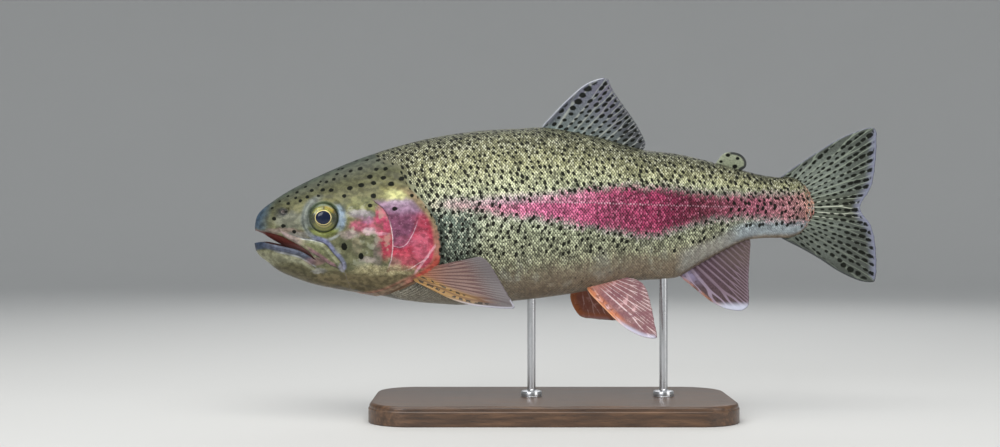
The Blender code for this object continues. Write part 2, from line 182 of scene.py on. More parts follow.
upperLipAt, lowerLipAt = profile(lines["upperLip"]), profile(lines["lowerLip"])
mouthRoofAt, behindMouthAt = profile(lines["mouthRoof"]), profile(lines["behindMouth"])
lateralAt = profile(lines["lateralLine"])
stripeTopAt, stripeLowAt = profile(lines["stripeTop"]), profile(lines["stripeLow"])
eyePlace = (52.4, -7.4)
mouthEnd = 47.0  # the corner of the mouth


def lineField(line, along, height):
    # distance to a line, positive on its left hand as it runs, and the share of its length
    nearest = np.full(along.shape, 1e9)
    side, share = np.ones(along.shape), np.zeros(along.shape)
    last = len(line) - 1
    for i in range(last):
        (ax, az), (bx, bz) = line[i], line[i + 1]
        dx, dz = bx - ax, bz - az
        t = np.clip(((along - ax) * dx + (height - az) * dz) / (dx * dx + dz * dz), 0, 1)
        gapX, gapZ = along - ax - t * dx, height - az - t * dz
        distance = np.hypot(gapX, gapZ)
        closer = distance < nearest
        nearest = np.where(closer, distance, nearest)
        side = np.where(closer, np.sign(dx * gapZ - dz * gapX), side)
        share = np.where(closer, (i + t) / last, share)
    return nearest * np.where(side == 0, 1, side), share


def insideField(outline, along, height):
    # distance to a closed outline, positive inside it
    ring = np.vstack([outline, outline[:1]])
    distance = np.abs(lineField(ring, along, height)[0])
    inside = np.zeros(along.shape, bool)
    for (ax, az), (bx, bz) in zip(ring[:-1], ring[1:]):
        crosses = (az > height) != (bz > height)
        with np.errstate(divide="ignore", invalid="ignore"):
            inside ^= crosses & (along < ax + (height - az) * (bx - ax) / (bz - az))
    return np.where(inside, distance, -distance)


def headFields(along, height):
    # every distance that the skin's relief and its colours use
    found = {}
    for name in ("gillEdge", "preopercle", "suture", "coverBone", "lipCrease", "scaleStart",
                 "maxillaTop"):
        line = smoothLine(lines[name], 4)
        found[name] = lineField(line, along, height)[0]
        ends = np.minimum(np.hypot(along - line[0, 0], height - line[0, 1]),
                          np.hypot(along - line[-1, 0], height - line[-1, 1]))
        found[name + "Hold"] = smoothStep(ends, 0, 7)
    maxilla = np.vstack([smoothLine(lines["maxillaTop"], 4), smoothLine(lines["maxillaLow"], 4)])
    found["maxilla"] = insideField(maxilla, along, height)
    found["eye"] = np.hypot(along - eyePlace[0], height - eyePlace[1])
    return found


relief = dict(
    coverRise=0.75, coverFade=22.0, flapWidth=3.2, flapRise=0.30,
    behindDip=-0.85, behindFade=13.0,
    preopercleRise=0.40, preopercleDip=-0.22,
    # height and half width of the ridge or furrow along a line
    ridges=dict(suture=(-0.22, 0.8), coverBone=(0.16, 1.1), lipCrease=(-0.35, 1.3)),
    maxillaRise=0.85, maxillaGroove=-0.35, maxillaFoot=-0.1, lipRise=0.45, lidDip=-0.28,
    # distance from the eye's middle and height over the smooth head
    orbit=[(0, -7.5), (8.6, -7.2), (9.4, -4.2), (10.1, -1.6), (10.7, -0.45), (11.4, 0.15), (12.3, 0.34),
           (13.3, 0.12), (14.2, -0.22), (15.2, 0.06), (16.6, 0.12), (20, 0)],
    nostrils=[(22.4, -2.9, 1.0), (25.6, -1.3, 1.25)], nostrilDip=-0.9, nostrilRim=0.22,
    throatFold=0.22,
)


def skinRelief(along, height, fields):
    # how far the skin stands over the smooth body, in mm
    r = relief
    gill = fields["gillEdge"]
    onCover = r["coverRise"] * np.exp(np.minimum(gill, 0) / r["coverFade"])
    flap = smoothStep(gill, -0.6, 0.1) * (r["coverRise"] - r["flapRise"])
    fall = smoothStep(gill, r["flapWidth"] - 0.3, r["flapWidth"] + 0.4)
    behind = r["behindDip"] * (1 - smoothStep(gill, r["flapWidth"], r["behindFade"]))
    rise = (onCover - flap) * (1 - fall) + behind * fall
    rise = rise * fields["gillEdgeHold"] * smoothStep(along, 60, 84)

    edge = fields["preopercle"]
    ahead = r["preopercleRise"] * np.exp(np.minimum(edge, 0) / 7) * (1 - smoothStep(edge, -0.1, 0.7))
    after = r["preopercleDip"] * smoothStep(edge, 0.1, 0.8) * np.exp(-np.maximum(edge, 0) / 4)
    rise = rise + (ahead + after) * fields["preopercleHold"]
    for name, (high, wide) in r["ridges"].items():
        rise = rise + high * hump(fields[name], wide) * fields[name + "Hold"]

    plate = fields["maxilla"]
    rise = rise + r["maxillaRise"] * smoothStep(plate, -0.2, 1.6) * smoothStep(along, 20, 32)
    above = height > steps(along, lines["maxillaTop"]) - 0.2
    rise = rise + np.where(above, r["maxillaGroove"], r["maxillaFoot"]) * hump(plate + 0.9, 0.8)

    upper, lower = upperLipAt(along), lowerLipAt(along)
    roll = hump(height - lower + 2.0, 1.4) * (height < lower + 0.2)
    roll = roll + 0.7 * hump(height - upper - 1.4, 1.1) * (height > upper - 0.2)
    rise = rise + r["lipRise"] * roll * smoothStep(along, 1.5, 8) * smoothStep(mouthEnd - along, 0, 8)

    # the rim of the eye, and the soft lid ahead of it and behind it
    rise = rise + steps(fields["eye"], r["orbit"])
    lid = hump(fields["eye"] - np.where(along < eyePlace[0], 16.2, 14.6), 0.9)
    beside = (np.abs(height - eyePlace[1]) < 13) * smoothStep(np.abs(along - eyePlace[0]), 5, 12)
    rise = rise + r["lidDip"] * lid * beside
    for x, z, radius in r["nostrils"]:
        away = np.hypot(along - x, height - z)
        rise = rise + r["nostrilDip"] * (1 - smoothStep(away, radius * 0.5, radius * 1.15))
        rise = rise + r["nostrilRim"] * hump(away - radius * 1.6, 0.5)
    # long folds of the gill membrane under the throat
    low = height - bellyAt(along)
    throat = smoothStep(along, 52, 66) * (1 - smoothStep(along, 100, 112))
    throat = throat * smoothStep(-gill, -3, 3) * (1 - smoothStep(low, 9, 14))
    return rise + r["throatFold"] * np.sin(low * 1.15 + along * 0.05) * throat


def makeMesh(name, points, faces):
    mesh = bpy.data.meshes.new(name)
    mesh.from_pydata(points.tolist(), [], faces)
    mesh.update()
    mesh.shade_smooth()
    return mesh


def faceOut(mesh):
    # leaves out loose points and turns every face outward
    work = bmesh.new()
    work.from_mesh(mesh)
    loose = [point for point in work.verts if not point.link_faces]
    bmesh.ops.delete(work, geom=loose, context="VERTS")
    bmesh.ops.recalc_face_normals(work, faces=work.faces)
    work.to_mesh(mesh)
    work.free()
    mesh.update()


def wholeFaces(faces):
    # leaves out the corners that fall together, and the faces that this closes
    faces = [list(dict.fromkeys(face)) for face in faces]
    return [face for face in faces if len(face) > 2]


def turned(outline, count):
    # an outline of (radius, height) turned round an upright axis
    turn = np.arange(count) * 2 * math.pi / count
    r, z = np.array(outline).T
    return np.stack([r[:, None] * np.cos(turn), r[:, None] * np.sin(turn),
                     np.broadcast_to(z[:, None], (len(r), count))], -1)


def tubeMesh(name, rings, sharpAngle):
    # rings of points in mm joined into a tube, with both ends closed
    grid = np.arange(rings.shape[0] * rings.shape[1]).reshape(rings.shape[:2])
    faces = gridFaces(grid, closed=True) + [grid[0].tolist(), grid[-1].tolist()]
    mesh = makeMesh(name, rings.reshape(-1, 3) * mm, faces)
    faceOut(mesh)
    mesh.set_sharp_from_angle(angle=math.radians(sharpAngle))
    return mesh


def setFields(mesh, **fields):
    # a number or a vector for each point, kept in the mesh under its name
    for name, values in fields.items():
        values = np.asarray(values, np.float32)
        kind, key = ("FLOAT_VECTOR", "vector") if values.ndim > 1 else ("FLOAT", "value")
        mesh.attributes.new(name, kind, "POINT").data.foreach_set(key, values.ravel())


def readBack(items, key, width=3):
    # what Blender keeps for each point: rows of three, or single numbers
    values = np.zeros(len(items) * width, np.float32)
    items.foreach_get(key, values)
    return values.reshape(-1, width) if width > 1 else values


def addToScene(name, data, place=(0, 0, 0), rotation=(0, 0, 0)):
    thing = bpy.data.objects.new(name, data)
    thing.location, thing.rotation_euler = place, rotation
    bpy.context.scene.collection.objects.link(thing)
    return thing


def showPiece(name, mesh, material, nodes):
    piece = addToScene(name, mesh)
    if material:
        mesh.materials.append(material)
    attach(piece, "root")
    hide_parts(*nodes)


def gridFaces(grid, closed=False):
    # a face for each square of a grid of point numbers
    if closed:
        grid = np.concatenate([grid, grid[:, :1]], axis=1)
    faces = np.stack([grid[:-1, :-1], grid[1:, :-1], grid[1:, 1:], grid[:-1, 1:]], -1)
    return faces.reshape(-1, 4).tolist()


spotting = dict(
    seed=11,
    # on the bare head: distance, height, radius
    head=[(16, -8, 1.5), (23, -13, 1.5), (14, 0, 1.2), (26, 3, 1.3), (32, 11, 1.3), (35, 5, 1.3),
          (40, 8, 1.4), (38, 15, 1.2), (25.4, 8.2, 1.2), (31.2, 7.2, 1.2), (43, 12.5, 1.4), (48, 8.5, 1.2),
          (47.5, 16, 1.2), (51, 12.5, 1.5), (57, 12.5, 1.6), (53.5, 18, 1.3), (59, 20, 1.4), (61, 24, 1.3),
          (67, 8, 1.5), (67, 22.5, 1.3), (64.5, 28, 1.3), (71, 14, 1.8), (70.5, 26.5, 1.5), (79, 16, 1.9),
          (77.5, 27.5, 1.7), (88, 8.5, 1.8), (88, 17, 1.7), (85, 22.5, 1.8), (89.5, 27.5, 1.5),
          (94.5, 21.5, 1.7), (96.5, 27.5, 1.6), (100, 17, 2), (74, 34, 1.4), (82, 34, 1.5), (67, -28, 2.2),
          (79, -34, 1.9), (103, -1, 1.7), (86, 1, 1.5), (84, 40, 1.4), (19.6, 4.6, 1.1), (44, 22, 1.1),
          (54, 26.5, 1.2), (30.9, -17, 1.4), (49, 18.8, 1.1), (107.4, 21, 1.8), (115.5, 8.6, 1.4),
          (61.5, 27.5, 1.1), (90, 33.5, 1.4), (25, -3, 1)],
    # above this height the spots are longer along the head, and below it they are taller
    cheekTop=-20.0, crownStretch=(0.86, 1.12, 1.12), cheekStretch=(1.05, 1.0, 0.82),
    # jittered rows on the scaled body: spacing along and round it over the stripe, then under it
    over=(4.4, 3.8), under=(5.5, 4.8), apart=3.5, halfLength=1.26, halfHeight=1.82,
    start=84.0, tail=345.0, end=403.0, widest=110.0,
    jitter=(0.34, 0.36), sizeRange=(0.85, 1.2), highSpots=(30, 0.84), nearby=90,
    # shares that stay: most, in the stripe, in it at the tail, and along the lowest row
    stay=(0.94, 0.45, 0.9, 0.5), lowRow=7,
    # how far a spot can reach along; how it leans over the lateral line, and under it
    reach=3.5, lean=(0.30, -0.22),
    # distance, and the spacing, least apart and size there, as shares
    crowding=[(84, 0.86), (330, 1.0), (350, 0.72), (403, 0.66)],
    apartShare=[(84, 0.85), (130, 1.0), (335, 1.0), (360, 0.74)],
    sizes=[(84, 0.9), (120, 1.0), (340, 0.9), (403, 0.76)],
    # how far into the stripe the spots go, and the lowest place of any
    stripeEdge=[(84, 4), (165, 4), (185, 1.5), (325, 1.0), (345, 9), (403, 12)],
    lowest=[(130, -46), (165, -42), (180, -34), (300, -31), (330, -22), (345, -14), (380, -13), (403, -16)],
)


def stripeInside(along, height):
    # distance inside the stripe's edges, in mm
    return np.minimum(stripeTopAt(along) - height, height - stripeLowAt(along))


aroundStep = 0.5  # spacing of the table's columns, in mm


def heightTable():
    # height and outward distance of the skin against the way round from the lateral line
    along = np.arange(70.0, 404.0, 1.0)
    around = np.arange(-130.0, 130.01, aroundStep)
    out, height = halfSection(along, 721)
    outs, heights = np.zeros((len(along), len(around))), np.zeros((len(along), len(around)))
    reach = np.zeros((len(along), 2))
    for i, s in enumerate(along):
        run = np.concatenate([[0], np.cumsum(np.hypot(np.diff(out[i]), np.diff(height[i])))])
        zero = np.interp(-lateralAt(s), -height[i], run)
        way = zero - run  # positive up the side
        outs[i] = np.interp(around, way[::-1], out[i][::-1])
        heights[i] = np.interp(around, way[::-1], height[i][::-1])
        reach[i] = way[-1], way[0]
    return dict(along=along, around=around, out=outs, height=heights, reach=reach)


table = heightTable()


def lookUp(name, along, around):
    x = np.clip(along - table["along"][0], 0, len(table["along"]) - 1.001)
    y = np.clip((around - table["around"][0]) / aroundStep, 0, len(table["around"]) - 1.001)
    i, j = x.astype(int), y.astype(int)
    u, v = x - i, y - j
    grid = table[name]
    return ((grid[i, j] * (1 - u) + grid[i + 1, j] * u) * (1 - v)
            + (grid[i, j + 1] * (1 - u) + grid[i + 1, j + 1] * u) * v)


def bodyReach(along):
    low = np.interp(along, table["along"], table["reach"][:, 0])
    return low, np.interp(along, table["along"], table["reach"][:, 1])


def spotAt(name, along):
    return float(steps(along, spotting[name]))


def bodySpots(side):
    # (distance, way round, half length, half height) of each dark spot on one side
    rule = spotting
    chance = np.random.default_rng(rule["seed"] + side)
    jitterAlong, jitterAround = rule["jitter"]
    most, striped, stripedTail, lowShare = rule["stay"]
    high, highShare = rule["highSpots"]
    spots = []
    for name, sign in (("over", 1), ("under", -1)):
        alongStep, aroundStep = rule[name]
        around, row = 0.5 * aroundStep, 0
        while around < rule["widest"]:
            along = rule["start"] + (row % 2) * alongStep / 2
            while along < rule["end"]:
                s = along + chance.uniform(-jitterAlong, jitterAlong) * alongStep
                w = sign * (around + chance.uniform(-jitterAround, jitterAround) * aroundStep)
                size, keep = chance.uniform(*rule["sizeRange"]), chance.random()
                along += alongStep * spotAt("crowding", s)
                bottom, top = bodyReach(s)
                if not bottom < w < top or s > rule["end"]:
                    continue
                h = float(lookUp("height", np.array([s]), np.array([w]))[0])
                inStripe, lowest = float(stripeInside(s, h)), spotAt("lowest", s)
                if h < lowest or s < rule["tail"] and inStripe > spotAt("stripeEdge", s):
                    continue
                share = most
                if inStripe > 0:
                    share = striped if s < rule["tail"] else stripedTail
                if h < lowest + rule["lowRow"]:
                    share = min(share, lowShare)
                apart = rule["apart"] * spotAt("apartShare", s)
                near = [math.hypot(s - a, w - b) < apart for a, b, *_ in spots[-rule["nearby"]:]]
                if keep > share or any(near):
                    continue
                size *= spotAt("sizes", s)
                spots.append((s, w, rule["halfLength"] * size,
                              rule["halfHeight"] * size * (1 if h < high else highShare)))
            around += aroundStep
            row += 1
    return np.array(spots)


def spotAmount(along, around, spots):
    # 1 in the middle of a spot, 0 at its edge and negative outside
    order, reach = np.argsort(along), spotting["reach"]
    leanOver, leanUnder = spotting["lean"]
    x, w = along[order], around[order]
    best = np.full(len(x), -1.0)
    firsts, lasts = np.searchsorted(x, spots[:, 0] - reach), np.searchsorted(x, spots[:, 0] + reach)
    for (place, way, half, tall), first, last in zip(spots, firsts, lasts):
        rise = w[first:last] - way
        across = x[first:last] - place + (leanOver if way > 0 else leanUnder) * rise
        amount = 1 - np.hypot(across / half, rise / tall)
        best[first:last] = np.maximum(best[first:last], amount)
    result = np.empty(len(x))
    result[order] = best
    return result


skinShape = dict(
    trunkStart=146.0,  # behind it the columns of faces are wider
    upperColumns=92, lowerColumns=52, lipColumns=5, roofColumns=10,
    coarseness=4,  # one column in four goes on into the trunk
    # how much finer the faces are by the eye and the mouth, where, and how far round them
    focus=(1.1, (55, 45), (-12, 17)),
    # the lips' roundness, at most this share of the jaw, and how it starts at the mouth's corner
    lipRadius=0.95, lipShare=0.35, thinLip=0.03, lipFade=9,
    floorDepth=[(0, 0.6), (3, 2), (10, 5), (20, 6), (35, 6), (47, 1.5)],
    spacing=[(0.3, 0.13), (3, 0.3), (18, 0.5), (36, 0.5), (68, 0.52), (76, 0.75), (108, 0.72), (114, 0.5),
             (138, 0.56), (146, 2), (370, 2.2), (380, 1.1), (403, 0.7)],
    snoutTip=(0.0, -13.0), chinTip=(0.0, -26.6), tailTip=(403.6, 0.3),
)


def stationsOf(spacing, fixed):
    place, marks = spacing[0][0], []
    while place < spacing[-1][0]:
        marks.append(place)
        place += float(steps(place, spacing))
    marks[-1] = spacing[-1][0]
    for mark in fixed:
        marks[int(np.argmin(np.abs(np.array(marks) - mark)))] = mark
    return np.array(marks)


def spread(out, height, start, end, count, along):
    # points between two heights on one outline, closer together beside the eye and mouth
    index = np.arange(len(out), dtype=float)
    ends = np.interp([-start, -end], -height, index)
    fine = np.linspace(ends[0], ends[1], 400)
    x, z = np.interp(fine, index, out), np.interp(fine, index, height)
    middle = (z[1:] + z[:-1]) / 2
    finer, (x0, halfLong), (z0, halfHigh) = skinShape["focus"]
    focus = 1 + finer * hump(along - x0, halfLong) * hump(middle - z0, halfHigh)
    run = np.concatenate([[0], np.cumsum(np.hypot(np.diff(x), np.diff(z)) * focus)])
    wanted = np.linspace(0, run[-1], count + 1)
    return np.interp(wanted, run, x), np.interp(wanted, run, z)


def wholeRing(along, out, height, upper, lower):
    # one side of a section behind the mouth, with a corner where the mouth's line runs on
    split = float(behindMouthAt(along))
    x1, z1 = spread(out, height, height[0], split, upper, along)
    x2, z2 = spread(out, height, split, height[-1], lower, along)
    return np.stack([np.append(x1, x2[1:]), np.append(z1, z2[1:])], -1)


def jawRing(along, out, height, isUpper):
    # one side of a jaw's section: the skin, the rolled lip, and the mouth's roof or floor
    shape = skinShape
    top, bottom = float(upperLipAt(along)), float(lowerLipAt(along))
    fade = float(smoothStep(mouthEnd - along, 0, shape["lipFade"]))
    radius = min(shape["lipRadius"] * fade + shape["thinLip"], shape["lipShare"] * (height[0] - top),
                 shape["lipShare"] * (bottom - height[-1]))
    if isUpper:
        lip, up, start, columns = top, 1, height[0], shape["upperColumns"]
        middle = float(mouthRoofAt(along))
    else:
        lip, up, start, columns = bottom, -1, height[-1], shape["lowerColumns"]
        middle = bottom - float(steps(along, shape["floorDepth"]))
    x, z = spread(out, height, start, lip + up * radius, columns, along)
    turn = np.linspace(0, math.pi, shape["lipColumns"] + 1)[1:]
    inward = np.linspace(1, 0, shape["roofColumns"] + 1)[1:]
    rollX = x[-1] - radius + radius * np.cos(turn)
    rollZ = lip + up * radius * (1 - np.sin(turn))
    ring = np.stack([np.concatenate([x, rollX, rollX[-1] * inward]),
                     np.concatenate([z, rollZ, middle + (rollZ[-1] - middle) * inward ** 3])], -1)
    return ring if isUpper else ring[::-1]


def buildSkinMesh():
    # the mesh, each point's distance and height, and how far it lies inside the mouth
    shape = skinShape
    stations = stationsOf(shape["spacing"], (mouthEnd, shape["trunkStart"]))
    corner, join = (int(np.argmin(np.abs(stations - place))) for place in (mouthEnd, shape["trunkStart"]))
    rings = list(zip(stations, *halfSection(stations)))
    up, low, many = shape["upperColumns"], shape["lowerColumns"], shape["coarseness"]
    inner = shape["lipColumns"] + shape["roofColumns"]
    places, flats, linings = [], [], []

    def keep(first, last, rows, lining=0.0):
        # rows hold (out, height); the right side mirrors the left and shares the midline
        rows = np.array(rows)
        alongs = np.broadcast_to(stations[first:last, None], rows.shape[:2])
        left = sum(len(p) for p in places) + np.arange(alongs.size).reshape(alongs.shape)
        right = left + left.size
        right[rows[..., 0] < 1e-9] = left[rows[..., 0] < 1e-9]
        for sign in (1, -1):
            places.append(toWorld(alongs, sign * rows[..., 0], rows[..., 1]).reshape(-1, 3))
            flats.append(np.stack([alongs, rows[..., 1]], -1).reshape(-1, 2))
            linings.append(np.broadcast_to(lining, rows.shape[:2]).ravel())
        return left, right

    def inside(columns):
        return np.concatenate([np.zeros(columns + 1), np.linspace(0, 1, shape["lipColumns"]),
                               np.ones(shape["roofColumns"])])

    rear = keep(corner, join + 1, [wholeRing(*ring, up, low) for ring in rings[corner:join + 1]])
    trunk = keep(join, len(stations), [wholeRing(*ring, up // many, low // many) for ring in rings[join:]])
    upper = keep(0, corner + 1, [jawRing(*ring, True) for ring in rings[:corner + 1]], inside(up))
    lower = keep(0, corner + 1, [jawRing(*ring, False) for ring in rings[:corner + 1]], inside(low)[::-1])
    faces = []
    for k in (0, 1):
        upper[k][-1, :up + 1] = rear[k][0, :up + 1]
        lower[k][-1, inner:] = rear[k][0, up:]
        lower[k][-1, :inner] = upper[k][-1, up + 1:][::-1]
        for grid in (upper[k], lower[k], rear[k], trunk[k][1:]):
            faces += gridFaces(grid)
        # faces of six corners, where the narrow columns meet the wide ones
        fine, coarse = rear[k][-1].tolist(), trunk[k][1].tolist()
        for j in range(len(coarse) - 1):
            faces.append(fine[j * many:(j + 1) * many + 1] + [coarse[j + 1], coarse[j]])
    # close the snout, the chin and the tail root with a fan to a middle point
    first = sum(len(p) for p in places)
    tips = ((upper, 0, shape["snoutTip"]), (lower, 0, shape["chinTip"]), (trunk, -1, shape["tailTip"]))
    for number, (grid, row, (along, height)) in enumerate(tips):
        places.append(toWorld(np.array([along]), np.array([0.0]), np.array([height])))
        flats.append(np.array([[along, height]]))
        linings.append(np.zeros(1))
        loop = [*grid[0][row].tolist(), *grid[1][row][::-1].tolist()[1:-1]]
        faces += [[a, b, first + number] for a, b in zip(loop, loop[1:] + loop[:1])]
    faces = wholeFaces(faces)
    used = np.unique(np.concatenate(faces))
    renumber = np.full(first + len(tips), -1)
    renumber[used] = np.arange(len(used))
    faces = [renumber[face].tolist() for face in faces]
    mesh = makeMesh("trout_skin", np.concatenate(places)[used], faces)
    faceOut(mesh)
    return mesh, np.concatenate(flats)[used], np.concatenate(linings)[used]


def aroundOf(along, height):
    # the way round the body from the lateral line to a height, for spots on the skin
    x = np.clip(along - table["along"][0], 0, len(table["along"]) - 1).astype(int)
    result = np.zeros(along.shape)
    for i in np.unique(x):
        here = x == i
        heights, way = table["height"][i], table["around"]
        inside = (way > table["reach"][i, 0]) & (way < table["reach"][i, 1])
        result[here] = np.interp(height[here], heights[inside], way[inside])
    return result


def makeSkin(material):
    mesh, flat, lining = buildSkinMesh()
    along, height = flat.T
    fields = headFields(along, height)
    rise = skinRelief(along, height, fields) * (lining < 0.01)
    places = readBack(mesh.vertices, "co").astype(float)
    outward = readBack(mesh.vertex_normals, "vector").astype(float)
    mesh.vertices.foreach_set("co", (places + outward * rise[:, None] * mm).astype(np.float32).ravel())
    mesh.update()
    headSpots = np.full(along.shape, -3.0)
    folded = np.stack([along, np.abs(places[:, 1]) / mm, height], -1)
    for x, z, radius in spotting["head"]:
        middle = folded[np.argmin(np.hypot(along - x, height - z) + 99 * (lining > 0.01))]
        stretch = spotting["crownStretch"] if z > spotting["cheekTop"] else spotting["cheekStretch"]
        away = np.linalg.norm((folded - middle) * stretch, axis=1)
        headSpots = np.maximum(headSpots, radius * 1.15 - away)
    around = aroundOf(along, height)
    bodySpot = np.full(along.shape, -1.0)
    for side, spots in sideSpots.items():
        mine = (places[:, 1] * side < 0) & (fields["scaleStart"] > -1)
        bodySpot[mine] = spotAmount(along[mine], around[mine], spots)
    setFields(mesh, along=along, tall=height, relative=relativeHeight(along, height),
              stripe=stripeInside(along, height), spot=np.maximum(headSpots, bodySpot * 1.4),
              lining=lining, scaled=fields["scaleStart"], gill=fields["gillEdge"],
              cheek=fields["preopercle"], suture=fields["suture"], maxilla=fields["maxilla"],
              eye=fields["eye"], bone=fields["coverBone"],
              lip=np.where(along < mouthEnd, height - lowerLipAt(along), -20),
              groove=np.where(along > 24, fields["maxillaTop"], 20))
    showPiece("trout_skin", mesh, material,
              ("head", "lower_jaw", "gill_cover_left", "gill_cover_right", "trunk", "tail_stem"))


scaleCoat = dict(
    alongStep=2.1, aroundStep=1.36,  # spacing of the rows at full size, in mm
    tilt=4.2,  # degrees that the free edge is lifted
    stray=0.17,  # how far a scale lies off its row, in mm
    turnStray=0.09,  # and how far it is turned, in radians
    thickness=0.09, sink=0.06, start=84.0, end=403.2, lastMark=404.0, rows=70,
    # one side of a scale at full size, from its root to its free edge, and how much smaller it is under
    outline=[(-1.15, 0.75), (0.3, 1.43), (1.5, 1.26), (2.32, 0.52)], under=0.97,
    crest=(0.9, 0.9),  # the highest point: its place, and its height as a share of the thickness
    # heights between which the nape begins; the bare gap before the first scales, ragged at the nape
    nape=(2, 14), bareGap=0.4, ragged=2.2,
    # place along the body and size
    sizes=[(80, 0.72), (100, 0.82), (125, 0.95), (160, 1), (280, 1), (340, 0.86), (380, 0.76), (403, 0.66)],
    # distance from the bare head and size, at the nape
    napeSizes=[(0, 0.52), (5, 0.80), (14, 1.0)],
    seed=5,
)


def scaleShape():
    # a thin rounded scale with its root at the origin and its free edge towards +X
    outline = scaleCoat["outline"]
    outline = outline + [(x, -y) for x, y in outline[::-1]]
    thick, under, count = scaleCoat["thickness"], scaleCoat["under"], len(outline)
    crest, share = scaleCoat["crest"]
    points = [(x, y, 0.0) for x, y in outline] + [(x * under, y * under, -thick) for x, y in outline]
    points = np.array(points + [(crest, 0.0, thick * share)])
    faces = [[i, (i + 1) % count, 2 * count] for i in range(count)]
    faces += [[(i + 1) % count, i, count + i, count + (i + 1) % count] for i in range(count)]
    faces.append(list(range(2 * count - 1, count - 1, -1)))
    mesh = makeMesh("one_scale", points * mm, faces)
    faceOut(mesh)
    setFields(mesh, local=points)
    return bpy.data.objects.new("one_scale", mesh)


def scaleNodes():
    # instances on points, a random tone each, made real and given their material
    tree = bpy.data.node_groups.new("scaleCoat", "GeometryNodeTree")
    for name, kind in (("Roots", "Geometry"), ("Scale Shape", "Object"), ("Overall Size", "Float"),
                       ("Tone Seed", "Int"), ("Finish", "Material")):
        tree.interface.new_socket(name, in_out="INPUT", socket_type="NodeSocket" + kind)
    tree.interface.new_socket("Scales", in_out="OUTPUT", socket_type="NodeSocketGeometry")
    board = Board(tree)
    given = board.put("NodeGroupInput").outputs
    shape = board.put("GeometryNodeObjectInfo", {"Object": given["Scale Shape"]})
    turn = board.put("GeometryNodeInputNamedAttribute", {"Name": "turn"}, data_type="FLOAT_VECTOR")
    size = board.put("GeometryNodeInputNamedAttribute", {"Name": "size"}, data_type="FLOAT")
    place = board.put("GeometryNodeInstanceOnPoints", {
        "Points": given["Roots"], "Instance": shape.outputs["Geometry"],
        "Rotation": turn.outputs["Attribute"],
        "Scale": board.times(size.outputs["Attribute"], given["Overall Size"])})
    tone = board.put("FunctionNodeRandomValue", {"Seed": given["Tone Seed"]}, data_type="FLOAT")
    store = board.put("GeometryNodeStoreNamedAttribute", {
        "Geometry": place.outputs["Instances"], "Name": "tone"}, data_type="FLOAT", domain="INSTANCE")
    board.give(next(s for s in store.inputs if s.name == "Value" and s.enabled),
               next(s for s in tone.outputs if s.type == "VALUE" and s.enabled))
    real = board.put("GeometryNodeRealizeInstances", {"Geometry": store.outputs["Geometry"]})
    paint = board.put("GeometryNodeSetMaterial", {
        "Geometry": real.outputs["Geometry"], "Material": given["Finish"]})
    board.put("NodeGroupOutput", {"Scales": paint.outputs["Geometry"]})
    return tree


def scaleRoots(side):
    # distance, way round, size and row of each scale: rows parallel to the lateral line,
    # every second one set back by half
    coat = scaleCoat
    place, marks = coat["start"], []
    while place < coat["lastMark"]:
        marks.append(place)
        place += coat["alongStep"] * float(steps(place, coat["sizes"]))
    rows = np.arange(-coat["rows"], coat["rows"] + 1)
    index, row = np.meshgrid(np.arange(len(marks)), rows, indexing="ij")
    along = np.interp(index + 0.5 * (row % 2), np.arange(len(marks)), marks)
    size = steps(along, coat["sizes"])
    chance = np.random.default_rng(coat["seed"] + side)
    along = along + chance.normal(0, coat["stray"], along.shape)
    around = row * coat["aroundStep"] * size + chance.normal(0, coat["stray"] * 0.75, along.shape)
    roots = np.stack([along, around, size, row]).reshape(4, -1)
    low, high = bodyReach(roots[0])
    roots = roots[:, (roots[1] > low + 0.1) & (roots[1] < high - 0.1) & (roots[0] < coat["end"])]
    height = lookUp("height", roots[0], roots[1])
    start = lineField(smoothLine(lines["scaleStart"], 4), roots[0], height)[0]
    nape = smoothStep(height, *coat["nape"])
    roots[2] *= 1 - nape * (1 - steps(start, coat["napeSizes"]))
    return roots[:, start > coat["bareGap"] + chance.random(len(start)) * coat["ragged"] * nape]


def onSkin(along, around, side):
    # places on the skin with its relief
    def bare(x, w):
        return toWorld(x, side * lookUp("out", x, w), lookUp("height", x, w))

    backward = bare(along + 1, around) - bare(along - 1, around)
    upward = bare(along, around + 0.8) - bare(along, around - 0.8)
    outward = unit(np.cross(backward, upward) * side)
    height = lookUp("height", along, around)
    rise = np.zeros(len(along))
    near = along < 150
    rise[near] = skinRelief(along[near], height[near], headFields(along[near], height[near]))
    return bare(along, around) + outward * rise[:, None] * mm


